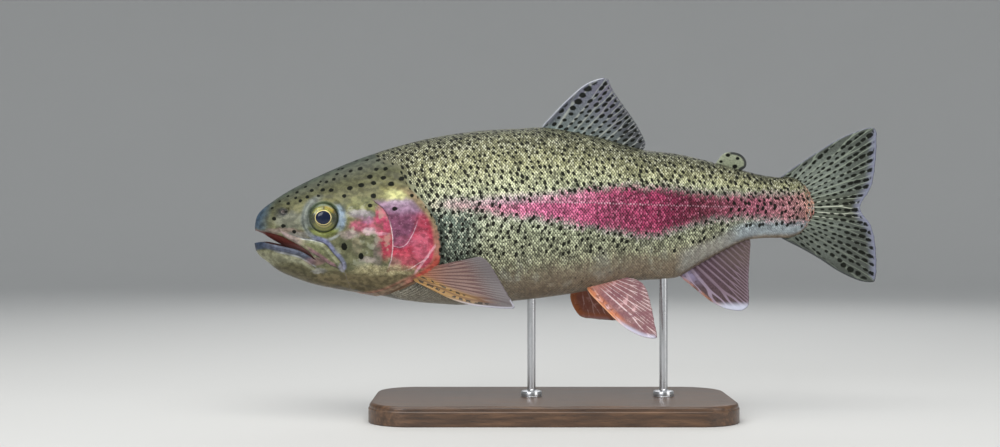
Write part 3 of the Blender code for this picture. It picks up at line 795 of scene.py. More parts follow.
def scalePiece(name, side, isUpper, tree, shape, material):
    coat = scaleCoat
    roots = scaleRoots(side)
    along, around, size, row = roots[:, (roots[3] >= 0) == isUpper]
    height = lookUp("height", along, around)
    backward = unit(onSkin(along + 1, around, side) - onSkin(along - 0.6, around, side))
    upward = onSkin(along, around + 0.8, side) - onSkin(along, around - 0.8, side)
    outward = unit(np.cross(backward, upward) * side)
    places = onSkin(along, around, side) - outward * coat["sink"] * mm
    tilt = math.radians(coat["tilt"])
    stray = np.random.default_rng(coat["seed"] + 7).normal(0, coat["turnStray"], len(along))[:, None]
    backward = backward * np.cos(stray) + np.cross(outward, backward) * np.sin(stray)
    xAxis = backward * math.cos(tilt) + outward * math.sin(tilt)
    zAxis = outward * math.cos(tilt) - backward * math.sin(tilt)
    yAxis = np.cross(zAxis, xAxis)
    turn = np.stack([np.arctan2(yAxis[:, 2], zAxis[:, 2]), np.arcsin(-np.clip(xAxis[:, 2], -1, 1)),
                     np.arctan2(xAxis[:, 1], xAxis[:, 0])], -1)
    mesh = makeMesh(name + "_roots", places, [])
    setFields(mesh, size=size, along=along, relative=relativeHeight(along, height),
              stripe=stripeInside(along, height), pore=row == 0, turn=turn,
              root=np.stack([along, around, along * 0], -1))
    holder = addToScene(name + "_roots", mesh)
    dress = holder.modifiers.new("coat", "NODES")
    dress.node_group = tree
    values = {"Scale Shape": shape, "Overall Size": 1.0, "Finish": material,
              "Tone Seed": coat["seed"] + side + 2 * isUpper}
    for socket in tree.interface.items_tree:
        if socket.in_out == "INPUT" and socket.name in values:
            dress[socket.identifier] = values[socket.name]
    bpy.context.view_layer.update()
    graph = bpy.context.evaluated_depsgraph_get()
    made = bpy.data.meshes.new_from_object(holder.evaluated_get(graph))
    made.name = name
    bpy.data.objects.remove(holder)
    root, local = (readBack(made.attributes[key].data, "vector") for key in ("root", "local"))
    sizes = readBack(made.attributes["size"].data, "value", 1)
    setFields(made, spot=spotAmount(root[:, 0] + local[:, 0] * sizes,
                                    root[:, 1] + side * local[:, 1] * sizes, sideSpots[side]))
    for spare in ("turn", "size"):
        made.attributes.remove(made.attributes[spare])
    bakeMap(made, root, local)
    made.shade_smooth()
    print("scene:", name, len(along), "scales,", sum(len(p.vertices) - 2 for p in made.polygons), "triangles")
    showPiece(name, made, None, ("trunk", "tail_stem"))


scaleMap = dict(edge=0.02, start=80.0, long=326.0, wide=0.0008, tall=0.001)


def bakeMap(mesh, root, local):
    # each scale is a small patch at its root's place on the skin rolled out flat
    plan = scaleMap
    low, high = root[:, 1].min(), root[:, 1].max()
    span = 1 - 2 * plan["edge"]
    u = plan["edge"] + span * (root[:, 0] - plan["start"]) / plan["long"]
    v = plan["edge"] + span * (root[:, 1] - low) / (high - low)
    flat = np.stack([u + local[:, 0] * plan["wide"], v + local[:, 1] * plan["tall"]], -1)
    corners = np.zeros(len(mesh.loops), np.int32)
    mesh.loops.foreach_get("vertex_index", corners)
    mesh.uv_layers.new(name="OFBake").data.foreach_set("uv", flat[corners].astype(np.float32).ravel())


# margin: the outline outside the body; foot: where the rays start, inside it;
# fan: (share of the foot, share of the margin) pairs that say where the rays end
fins = {
    "dorsal_fin": dict(
        margin=[(205.5, 54), (208.5, 60.2), (213.4, 65.5), (220.7, 73.4), (227.9, 80.3), (235.2, 86.8),
                (242.4, 91.3), (249.6, 93.8), (254.4, 94), (256.6, 91), (259.2, 85), (267, 73.8),
                (274.2, 63.7), (279.4, 54.3), (282.3, 47.6), (281.8, 43.6)],
        foot=[(206.5, 54), (225, 52), (245, 48), (262, 43), (277, 38.5)],
        fan=[(0, 0), (0.05, 0.15), (0.10, 0.33), (0.17, 0.52), (0.5, 0.74), (1, 1)],
        rays=12, thick=0.72, wave=(0.8, 1.1)),
    "caudal_fin": dict(
        margin=[(379.5, 21.8), (385, 26.2), (394.3, 32.6), (408.8, 42), (423.2, 50.6), (437.7, 56.5),
                (446, 58.4), (449.2, 56.2), (449.6, 47), (449.2, 37), (447.3, 21), (444.6, 12.8), (440, 5.6),
                (438, 0.6), (440.2, -5.2), (445.2, -11.4), (448.6, -22.4), (450, -38), (449.6, -50),
                (447.4, -53.6), (437.7, -52.8), (423.2, -46.3), (408.8, -37), (394.3, -28.7), (386, -24.6),
                (379.5, -21)],
        foot=[(383, 18), (392, 13), (398, 6), (399.5, 0), (398, -6), (392, -12.5), (383, -17)],
        fan=[(0, 0), (0.06, 0.12), (0.13, 0.272), (0.5, 0.503), (0.87, 0.722), (0.94, 0.88), (1, 1)],
        rays=19, thick=0.72, wave=(1.0, 0.8)),
    "anal_fin": dict(
        margin=[(306.5, -46), (307.2, -49.4), (314.7, -55.5), (324, -63.2), (331, -68.4), (340, -72.6),
                (349, -74.4), (354.6, -73), (357.4, -68.6), (357.3, -52), (358, -34), (358.4, -25),
                (357, -20)],
        foot=[(307, -43), (318, -37), (332, -28), (345, -21), (355, -16.5)],
        fan=[(0, 0), (0.05, 0.22), (0.12, 0.42), (0.2, 0.53), (0.6, 0.77), (1, 1)],
        rays=14, thick=0.72, wave=(0.8, 1.2)),
    "pectoral_fin": dict(
        margin=[(118, -53.4), (128.3, -57.6), (142.3, -64), (156.3, -68.2), (170, -69.8), (184, -70.4),
                (187.4, -69), (184.6, -63.2), (177.3, -50.8), (170.6, -39.6), (165.4, -35), (160, -35),
                (149.5, -41.1), (135.6, -45.6), (122, -42)],
        foot=[(116.4, -52), (114.8, -49), (114.6, -46), (116.5, -43.6)],
        fan=[(0, 0.06), (0.10, 0.44), (0.14, 0.475), (0.86, 0.74), (1, 0.98)],
        rays=13, thick=0.62, wave=(0.5, 1.5),
        plane=dict(at=(118, -50), out=22.5, perLength=0.273, perHeight=-0.034)),
    "pelvic_fin": dict(
        margin=[(238.5, -55), (240.6, -60), (248.2, -68.3), (262.3, -82.3), (269.8, -87.6), (278, -91.4),
                (286.2, -92.6), (288.4, -90), (287, -83), (285.4, -72), (281.6, -57.5), (275, -51.5),
                (262, -48.6)],
        foot=[(240, -53), (245, -50.5), (251, -48.5), (257, -47.6)],
        fan=[(0, 0.03), (0.13, 0.50), (0.17, 0.535), (0.9, 0.88), (1, 0.98)],
        rays=9, thick=0.62, wave=(0.5, 1.0),
        plane=dict(at=(246, -55), out=8.5, perLength=0.10, perHeight=-0.30)),
    "right_pelvic_fin": dict(
        margin=[(231.5, -55), (228.8, -62.5), (229.4, -68), (232.6, -75), (237.4, -80.4), (246, -82),
                (258, -83.2), (270, -83.4), (273, -81), (273.4, -74), (270, -62), (262, -53), (253, -49)],
        foot=[(233, -54), (238, -51), (243, -49.6), (249, -49)],
        fan=[(0, 0.02), (0.12, 0.27), (0.9, 0.9), (1, 0.98)],
        rays=9, thick=0.62, wave=(0.5, 1.0),
        plane=dict(at=(238, -56), out=9.5, perLength=0.14, perHeight=-0.62)),
    "adipose_fin": dict(
        margin=[(332.4, 31), (334.6, 34.4), (338.4, 38.9), (343, 40.5), (348.8, 39.9), (353.2, 37.4),
                (355.5, 33.2), (354.8, 29.4), (351.6, 27.6)],
        foot=[(333.5, 30), (339, 28.5), (345, 27), (351, 25.5)],
        fan=[(0, 0), (1, 1)],
        rays=0, thick=1.4, wave=(0.2, 1.0)),
}


def rayHeight(phase, rise):
    # 1 on a ray, 0 between rays; each ray forks twice in the outer half of the fin
    place = phase % 1.0
    first, second = (apart * smoothStep(rise, start, end) for start, end, apart in finShape["forks"])
    away = np.ones(phase.shape)
    for a in (-1, 1):
        for b in (-1, 1):
            away = np.minimum(away, np.abs(place - 0.5 - a * first - b * second))
    width = 0.20 - 0.09 * smoothStep(rise, 0.3, 0.6) - 0.05 * smoothStep(rise, 0.65, 0.9)
    return np.clip(1 - (away / width) ** 2, 0, 1)


finShape = dict(
    rows=56, columnsPerRay=12, fewestColumns=60,
    web=0.10, thinnestRay=0.04, taper=0.74,  # half thicknesses in mm; how much a ray thins out
    root=0.62, rootEnd=0.25,  # thickness of the fleshy root, and where it ends
    scallop=0.35, sideEdge=30.0,
    # where each fork starts and ends along the fin, and how far it parts the ray
    forks=((0.55, 0.82, 0.25), (0.86, 1.05, 0.125)),
)


def finMesh(name, shape, side):
    form, rays, thick = finShape, shape["rays"], shape["thick"]
    parts = max(rays, 1)
    columns = max(rays * form["columnsPerRay"], form["fewestColumns"])
    u, t = np.linspace(0, 1, columns + 1), np.linspace(0, 1, form["rows"] + 1)
    margin, foot = smoothLine(shape["margin"]), smoothLine(shape["foot"])
    ends, starts = pointAt(margin, steps(u, shape["fan"])), pointAt(foot, u)
    phase, rise = np.meshgrid(u * parts, t, indexing="ij")
    way = (ends - starts)[:, None]
    length = np.hypot(*(ends - starts).T)[:, None]
    flat = starts[:, None] + way * rise[..., None]
    if rays:
        # soft rays are scalloped a little where the membrane draws back between them
        pull = form["scallop"] * (1 - rayHeight(phase, rise * 0)) * smoothStep(rise, 0.9, 1) * (length / 60)
        flat = flat - way / np.maximum(length, 1)[..., None] * pull[..., None]
        taper = thick * (1 - form["taper"] * rise) - form["web"]
        half = form["web"] + rayHeight(phase, rise) * np.maximum(taper, form["thinnestRay"])
        half = np.maximum(half, (form["root"] * (1 - rise / form["rootEnd"])).clip(0, 1) * thick)
    else:
        half = thick * np.sqrt(np.clip(1 - rise ** 2.5, 0, 1)) * np.sin(math.pi * u)[:, None] ** 0.5
    half = half * np.clip(np.minimum(phase, parts - phase) * form["sideEdge"], 0, 1)
    half[:, -1] = 0
    amount, waves = shape["wave"]
    middle = amount * rise ** 1.6 * np.sin(waves * 2 * math.pi * u + 0.7)[:, None]
    x, z = flat[..., 0], flat[..., 1]
    plane = shape.get("plane")
    if plane:
        atX, atZ = plane["at"]
        middle = middle + plane["out"] + plane["perLength"] * (x - atX) + plane["perHeight"] * (z - atZ)
    places = [toWorld(x, side * (middle + face * half), z).reshape(-1, 3) for face in (1, -1)]
    near = np.arange(phase.size).reshape(phase.shape)
    far = near + near.size
    far[[0, -1]] = near[[0, -1]]
    far[:, -1] = near[:, -1]
    root = np.stack([near[:-1, 0], near[1:, 0], far[1:, 0], far[:-1, 0]], -1).tolist()
    mesh = makeMesh(name, np.concatenate(places), wholeFaces(gridFaces(near) + gridFaces(far) + root))
    edge, share = lineField(margin, x, z)
    lead = lineField(margin[:len(margin) // 2], x, z)[0]
    # right is 1 on the right side's fins; the pelvic fin's colours darken those as painted shade
    fields = dict(ray=phase, rise=rise, reach=rise * length, rim=np.abs(edge), edge=share,
                  lead=np.abs(lead), along=x, tall=z, right=rise * 0 + (side < 0))
    setFields(mesh, **{field: np.tile(values.ravel(), 2) for field, values in fields.items()})
    faceOut(mesh)
    return mesh


class Board:
    # short ways to place and join nodes; fields are the numbers that masks call by name
    def __init__(self, tree):
        self.nodes, self.links = tree.nodes, tree.links
        self.fields = {}

    def put(self, kind, inputs=None, **settings):
        node = self.nodes.new(kind)
        for name, value in settings.items():
            setattr(node, name, value)
        self.fill(node, inputs or {})
        return node

    def give(self, socket, value):
        if isinstance(value, bpy.types.NodeSocket):
            self.links.new(value, socket)
        elif isinstance(value, tuple) and len(value) == 3 and socket.type == "RGBA":
            socket.default_value = (*value, 1)
        else:
            socket.default_value = value

    def fill(self, node, values):
        for name, value in values.items():
            self.give(node.inputs[name], value)

    def read(self, name, output="Fac"):
        # a named number or vector of the mesh, fetched once
        if name not in self.fields:
            self.fields[name] = self.put("ShaderNodeAttribute", attribute_name=name).outputs[output]
        return self.fields[name]

    def math(self, operation, *values):
        node = self.put("ShaderNodeMath", operation=operation)
        for socket, value in zip(node.inputs, values):
            self.give(socket, value)
        return node.outputs[0]

    def chain(self, operation, first, *others):
        for other in others:
            first = self.math(operation, first, other)
        return first

    def add(self, *values):
        return self.chain("ADD", *values)

    def times(self, *values):
        return self.chain("MULTIPLY", *values)

    def less(self, value, taken):
        return self.math("SUBTRACT", value, taken)

    def over(self, value, size):
        return self.math("DIVIDE", value, size)

    def absolute(self, value):
        return self.math("ABSOLUTE", value)

    def blend(self, value, scale, offset):
        return self.math("MULTIPLY_ADD", value, scale, offset)

    def away(self, x, z, wide, high, along="along", tall="tall"):
        # distance from a place, as a share of an oval's half width and half height
        return self.length(self.over(self.less(self.read(along), x), wide),
                           self.over(self.less(self.read(tall), z), high))

    def length(self, x, y):
        return self.math("SQRT", self.add(self.times(x, x), self.times(y, y)))

    def step(self, value, low, high, toLow=0.0, toHigh=1.0):
        return self.put("ShaderNodeMapRange", {
            "Value": value, "From Min": low, "From Max": high, "To Min": toLow, "To Max": toHigh},
            interpolation_type="SMOOTHSTEP").outputs["Result"]

    def mask(self, *parts):
        # a product of steps (field, where it is 0, where it is 1), thin lines
        # ("line", field, half width) and soft ovals ("oval", x, z, wide, high)
        found = []
        for kind, *rest in parts:
            if kind == "oval":
                found.append(self.step(self.away(*rest, "x", "z"), 1.3, 0.6))
            elif kind == "line":
                off = self.absolute(self.add(self.read(rest[0]), self.read("wander")))
                found.append(self.step(off, rest[1] * 1.3, rest[1] * 0.4))
            else:
                found.append(self.step(self.read(kind), *rest))
        return self.times(*found)

    def mix(self, share, a, b, blend="MIX"):
        node = self.put("ShaderNodeMix", {0: share}, data_type="RGBA", blend_type=blend)
        # sockets 6 and 7 are the two colours, and output 2 the mixed one
        self.give(node.inputs[6], a)
        self.give(node.inputs[7], b)
        return node.outputs[2]

    def layers(self, color, *table):
        # paints each (strength, colour, masks) of a table over the one before
        for strength, paint, masks in table:
            color = self.mix(self.times(self.mask(*masks), strength), color, paint)
        return color

    def shade(self, color, amount):
        grey = self.put("ShaderNodeCombineColor", {"Red": amount, "Green": amount, "Blue": amount})
        return self.mix(1.0, color, grey.outputs["Color"], "MULTIPLY")

    def ramp(self, value, stops, low=0.0, high=1.0):
        # colours or shares of grey at places along a value
        node = self.put("ShaderNodeValToRGB")
        band = node.color_ramp
        while len(band.elements) < len(stops):
            band.elements.new(0.5)
        for element, (place, color) in zip(band.elements, stops):
            element.position = (place - low) / (high - low)
            element.color = (*color, 1) if isinstance(color, tuple) else (color, color, color, 1)
        self.give(node.inputs["Fac"], self.put("ShaderNodeMapRange", {
            "Value": value, "From Min": low, "From Max": high}).outputs["Result"])
        return node.outputs["Color"]

    def noise(self, size, detail=3.0, rough=0.55, stretch=(1, 1, 1), where=None):
        # size is the width of the pattern's features in mm
        where = where or self.put("ShaderNodeTexCoord").outputs["Object"]
        moved = self.put("ShaderNodeMapping", {"Vector": where, "Scale": stretch}).outputs[0]
        return self.put("ShaderNodeTexNoise", {"Vector": moved, "Scale": 1 / (size * mm),
                                               "Detail": detail, "Roughness": rough}).outputs["Fac"]

    def bump(self, height, depth, strength=1.0):
        return self.put("ShaderNodeBump", {"Height": height, "Distance": depth * mm,
                                           "Strength": strength}).outputs["Normal"]


def newMaterial(name, constants):
    material = bpy.data.materials.new(name)
    material.use_nodes = True
    board = Board(material.node_tree)
    shader = board.nodes["Principled BSDF"]
    board.fill(shader, constants)
    return material, board, shader


def newGroup(name, numbers, results):
    # a shader node group with number inputs; results are (name, kind of socket)
    tree = bpy.data.node_groups.new(name, "ShaderNodeTree")
    for number in numbers:
        tree.interface.new_socket(number, in_out="INPUT", socket_type="NodeSocketFloat")
    for result, kind in results:
        tree.interface.new_socket(result, in_out="OUTPUT", socket_type="NodeSocket" + kind)
    board = Board(tree)
    given = board.put("NodeGroupInput").outputs
    return tree, board, given, board.put("NodeGroupOutput")


def useGroup(board, tree, values):
    node = board.put("ShaderNodeGroup", node_tree=tree)
    board.fill(node, values)
    return node.outputs


flankColors = dict(
    # relative height and colour, belly to back; the dull tan at the belly is partly painted shade under the
    # body
    flank=[(-1, (0.21, 0.165, 0.115)), (-0.86, (0.26, 0.205, 0.145)), (-0.7, (0.29, 0.25, 0.175)),
           (-0.52, (0.32, 0.325, 0.215)), (-0.2, (0.37, 0.4, 0.265)), (0.12, (0.55, 0.6, 0.43)),
           (0.35, (0.59, 0.62, 0.39)), (0.6, (0.43, 0.43, 0.24)), (0.82, (0.22, 0.22, 0.13)),
           (1, (0.11, 0.115, 0.075))],
    # place along the body, colour of the stripe, then its strength
    stripe=[(130, (0.46, 0.24, 0.3)), (165, (0.57, 0.22, 0.31)), (205, (0.7, 0.16, 0.33)),
            (247, (0.53, 0.09, 0.21)), (263, (0.36, 0.052, 0.13)), (284, (0.36, 0.041, 0.117)),
            (303, (0.215, 0.024, 0.066)), (320, (0.175, 0.021, 0.048)), (362, (0.41, 0.11, 0.17)),
            (395, (0.46, 0.18, 0.19))],
    strength=[(118, 0.1), (138, 0.4), (160, 0.72), (188, 0.95), (300, 1), (360, 0.95), (394, 0.8),
              (403, 0.55)],
    length=(100.0, 410.0), root=403.0, spot=(0.009, 0.010, 0.008),
    # the darker, bluish patch behind the gill cover, partly painted shade under the cover's edge
    shoulder=[("relative", 0.19, 0.02), ("along", 168, 150)], shoulderShade=(0.38, 0.45, 0.52),
    # pale upright clouds low on the side
    clouds=[("relative", -0.35, -0.6), ("relative", -0.98, -0.8)], cloudColor=(0.42, 0.42, 0.36),
    # bluish silver under the tail's root, paler skin before it, and the pale belly in front
    low=[
        (0.75, (0.38, 0.46, 0.52), [("along", 330, 352), ("relative", -0.3, -0.55),
            ("relative", -0.97, -0.8)]),
        (0.55, (0.46, 0.47, 0.44), [("along", 300, 310), ("along", 352, 338), ("relative", -0.5, -0.68),
            ("relative", -0.97, -0.88)]),
        (0.75, (0.43, 0.4, 0.32), [("relative", -0.66, -0.9), ("along", 205, 150)])],
    # the stripe's pale fringes
    fringes=[
        (0.62, (0.3, 0.27, 0.31), [("stripe", -6, -1.5), ("along", 145, 185), ("along", 405, 380)]),
        (0.5, (0.52, 0.44, 0.52), [("stripe", -6, -1), ("along", 128, 142), ("along", 215, 180),
            ("relative", 0.05, 0.22)])],
    # light over the stripe's front, orange and white at the tail's root, freckles by the pelvic fins
    last=[
        (0.28, (0.86, 0.56, 0.66), [("relative", 0.13, 0.18), ("relative", 0.31, 0.25), ("along", 150, 175),
            ("along", 252, 230)]),
        (0.7, (0.62, 0.26, 0.17), [("root", 8.5, 4.5), ("along", 388, 394), ("spread", -0.15, 0.15)]),
        (0.8, (0.8, 0.72, 0.64), [("root", 6.5, 3.5), ("along", 388, 394), ("spread", -0.12, -0.3)]),
        (0.75, (0.035, 0.03, 0.025), [("freckles", 0.64, 0.7), ("along", 222, 232), ("along", 272, 258),
            ("relative", -0.7, -0.78), ("relative", -0.97, -0.9)])],
)


def flankGroup():
    # the colours of the scaled body, for the skin and the scales
    look = flankColors
    tree, board, given, results = newGroup(
        "flankColors", ("Along", "Relative", "Stripe", "Tone"),
        (("Color", "Color"), ("Stripe Mask", "Float")))
    along, relative, stripe, tone = (given[n] for n in ("Along", "Relative", "Stripe", "Tone"))
    spread = board.less(tone, 0.5)
    cloud = board.less(board.noise(9.0, 3, stretch=(1, 1, 0.45)), 0.5)
    stripe = board.add(stripe, board.add(board.times(spread, 3.6), board.times(cloud, 7.0)))
    board.fields.update(along=along, relative=relative, spread=spread, stripe=stripe,
                        root=board.less(look["root"], along), freckles=board.noise(2.2, 1))
    color = board.ramp(board.add(relative, board.add(board.times(spread, 0.10), board.times(cloud, 0.30))),
                       look["flank"], -1.0, 1.0)
    color = board.mix(board.mask(*look["shoulder"]), color,
                      board.mix(1.0, color, look["shoulderShade"], "MULTIPLY"))
    color = board.mix(board.times(board.step(cloud, 0.02, 0.16), board.mask(*look["clouds"]), 0.45), color,
                      look["cloudColor"])
    color = board.layers(color, *look["low"], *look["fringes"])
    within = board.mask(("stripe", -3.8, 3.6))
    mask = board.times(within, board.ramp(along, look["strength"], *look["length"]))
    band = board.ramp(along, look["stripe"], *look["length"])
    color = board.mix(mask, color, board.shade(band, board.blend(cloud, 1.3, 1.0)))
    board.fill(results, {"Color": board.layers(color, *look["last"]), "Stripe Mask": mask})
    return tree


def useFlank(board, group, tone):
    values = {name: board.read(name.lower()) for name in ("Along", "Relative", "Stripe")}
    return useGroup(board, group, {**values, "Tone": tone})


scaleLook = dict(
    # dark sets the painted shade between the scales, bright and varied each scale's painted highlight, and
    # glint and pinkGlint the colours of painted glints
    dark=0.25, bright=0.60, varied=1.40, glint=(0.92, 0.93, 0.72), pinkGlint=(0.86, 0.38, 0.52),
    # the pores of the lateral line, and their strength along the body
    pore=(0.88, 0.56, 0.66), poreStrength=[(150, 0.85), (250, 0.75), (330, 0.45), (400, 0.3)],
)


def scaleMaterial(group):
    look = scaleLook
    material, board, shader = newMaterial("trout_scales", {
        "Coat Weight": 0.12, "Coat Roughness": 0.25, "Coat IOR": 1.33, "IOR": 1.33})
    tone, along = board.read("tone"), board.read("along")
    flank = useFlank(board, group, tone)
    inStripe, place = flank["Stripe Mask"], board.read("local", "Vector")
    local = board.put("ShaderNodeSeparateXYZ", {"Vector": place}).outputs
    board.fields.update(ahead=local["X"], aside=board.absolute(local["Y"]))
    grain = board.noise(0.6, 2)
    # painted highlight: each scale is brightest at the middle of its free edge; the rest of it is darker,
    # partly its own pigment and partly painted shade between the scales
    highlightPatch = board.mask(("ahead", 0.9, 2.0), ("aside", 1.35, 0.45))
    cluster = board.step(board.noise(3.2, 3, 0.6, stretch=(1, 1, 0.6)), 0.32, 0.68, 0.62, 1.40)
    lit = board.times(board.blend(tone, look["varied"], look["bright"]), cluster)
    plain = board.mask(("relative", -0.45, -0.80))
    low = board.blend(plain, 0.56, board.times(look["dark"], cluster, board.step(tone, 0.0, 1.0, 0.75, 1.7)))
    shade = board.add(low, board.times(highlightPatch, board.less(lit, board.times(plain, board.less(lit, 0.10)))))
    color = board.shade(flank["Color"], board.times(shade, board.blend(grain, 0.5, 0.75)))
    # painted glints, pale reflections on some scales' free edges: none in the stripe, weaker on the darker
    # patch behind the gill cover
    glint = board.mask(("tone", 0.45, 0.95), ("relative", -0.65, 0.1), ("relative", 1.0, 0.80))
    weaker = board.blend(board.mask(*flankColors["shoulder"]), 0.20, 0.74)
    color = board.mix(board.times(highlightPatch, glint, board.less(1.0, inStripe), weaker), color, look["glint"])
    # painted pink glints on some scales in the stripe
    pink = board.times(highlightPatch, inStripe, board.step(tone, 0.60, 1.0), 0.44)
    color = board.mix(pink, color, look["pinkGlint"])
    pore = board.times(board.read("pore"), board.mask(("along", 140, 175), ("ahead", 1.0, 1.6), (
        "aside", 0.75, 0.35)), board.step(tone, 0.0, 0.8, 0.45, 1.1))
    color = board.mix(board.times(pore, board.ramp(along, look["poreStrength"], *flankColors["length"])),
                      color, look["pore"])
    black = board.step(board.blend(grain, 0.55, board.less(board.read("spot"), 0.27)), -0.02, 0.16)
    rings = board.put("ShaderNodeTexWave", {"Vector": place, "Scale": 2.2, "Distortion": 1.5},
                      wave_type="RINGS").outputs["Fac"]
    board.fill(shader, {
        "Base Color": board.mix(board.times(black, 0.97), color, flankColors["spot"]),
        "Metallic": board.blend(black, -0.12, 0.12), "Specular IOR Level": board.blend(black, -0.35, 0.5),
        "Roughness": board.blend(tone, 0.14, 0.34),
        "Normal": board.bump(board.add(rings, grain), 0.03, 0.5)})
    return material


onCover = ("cheek", -0.2, 0.5)  # the mask of the gill cover, behind the cheek's edge
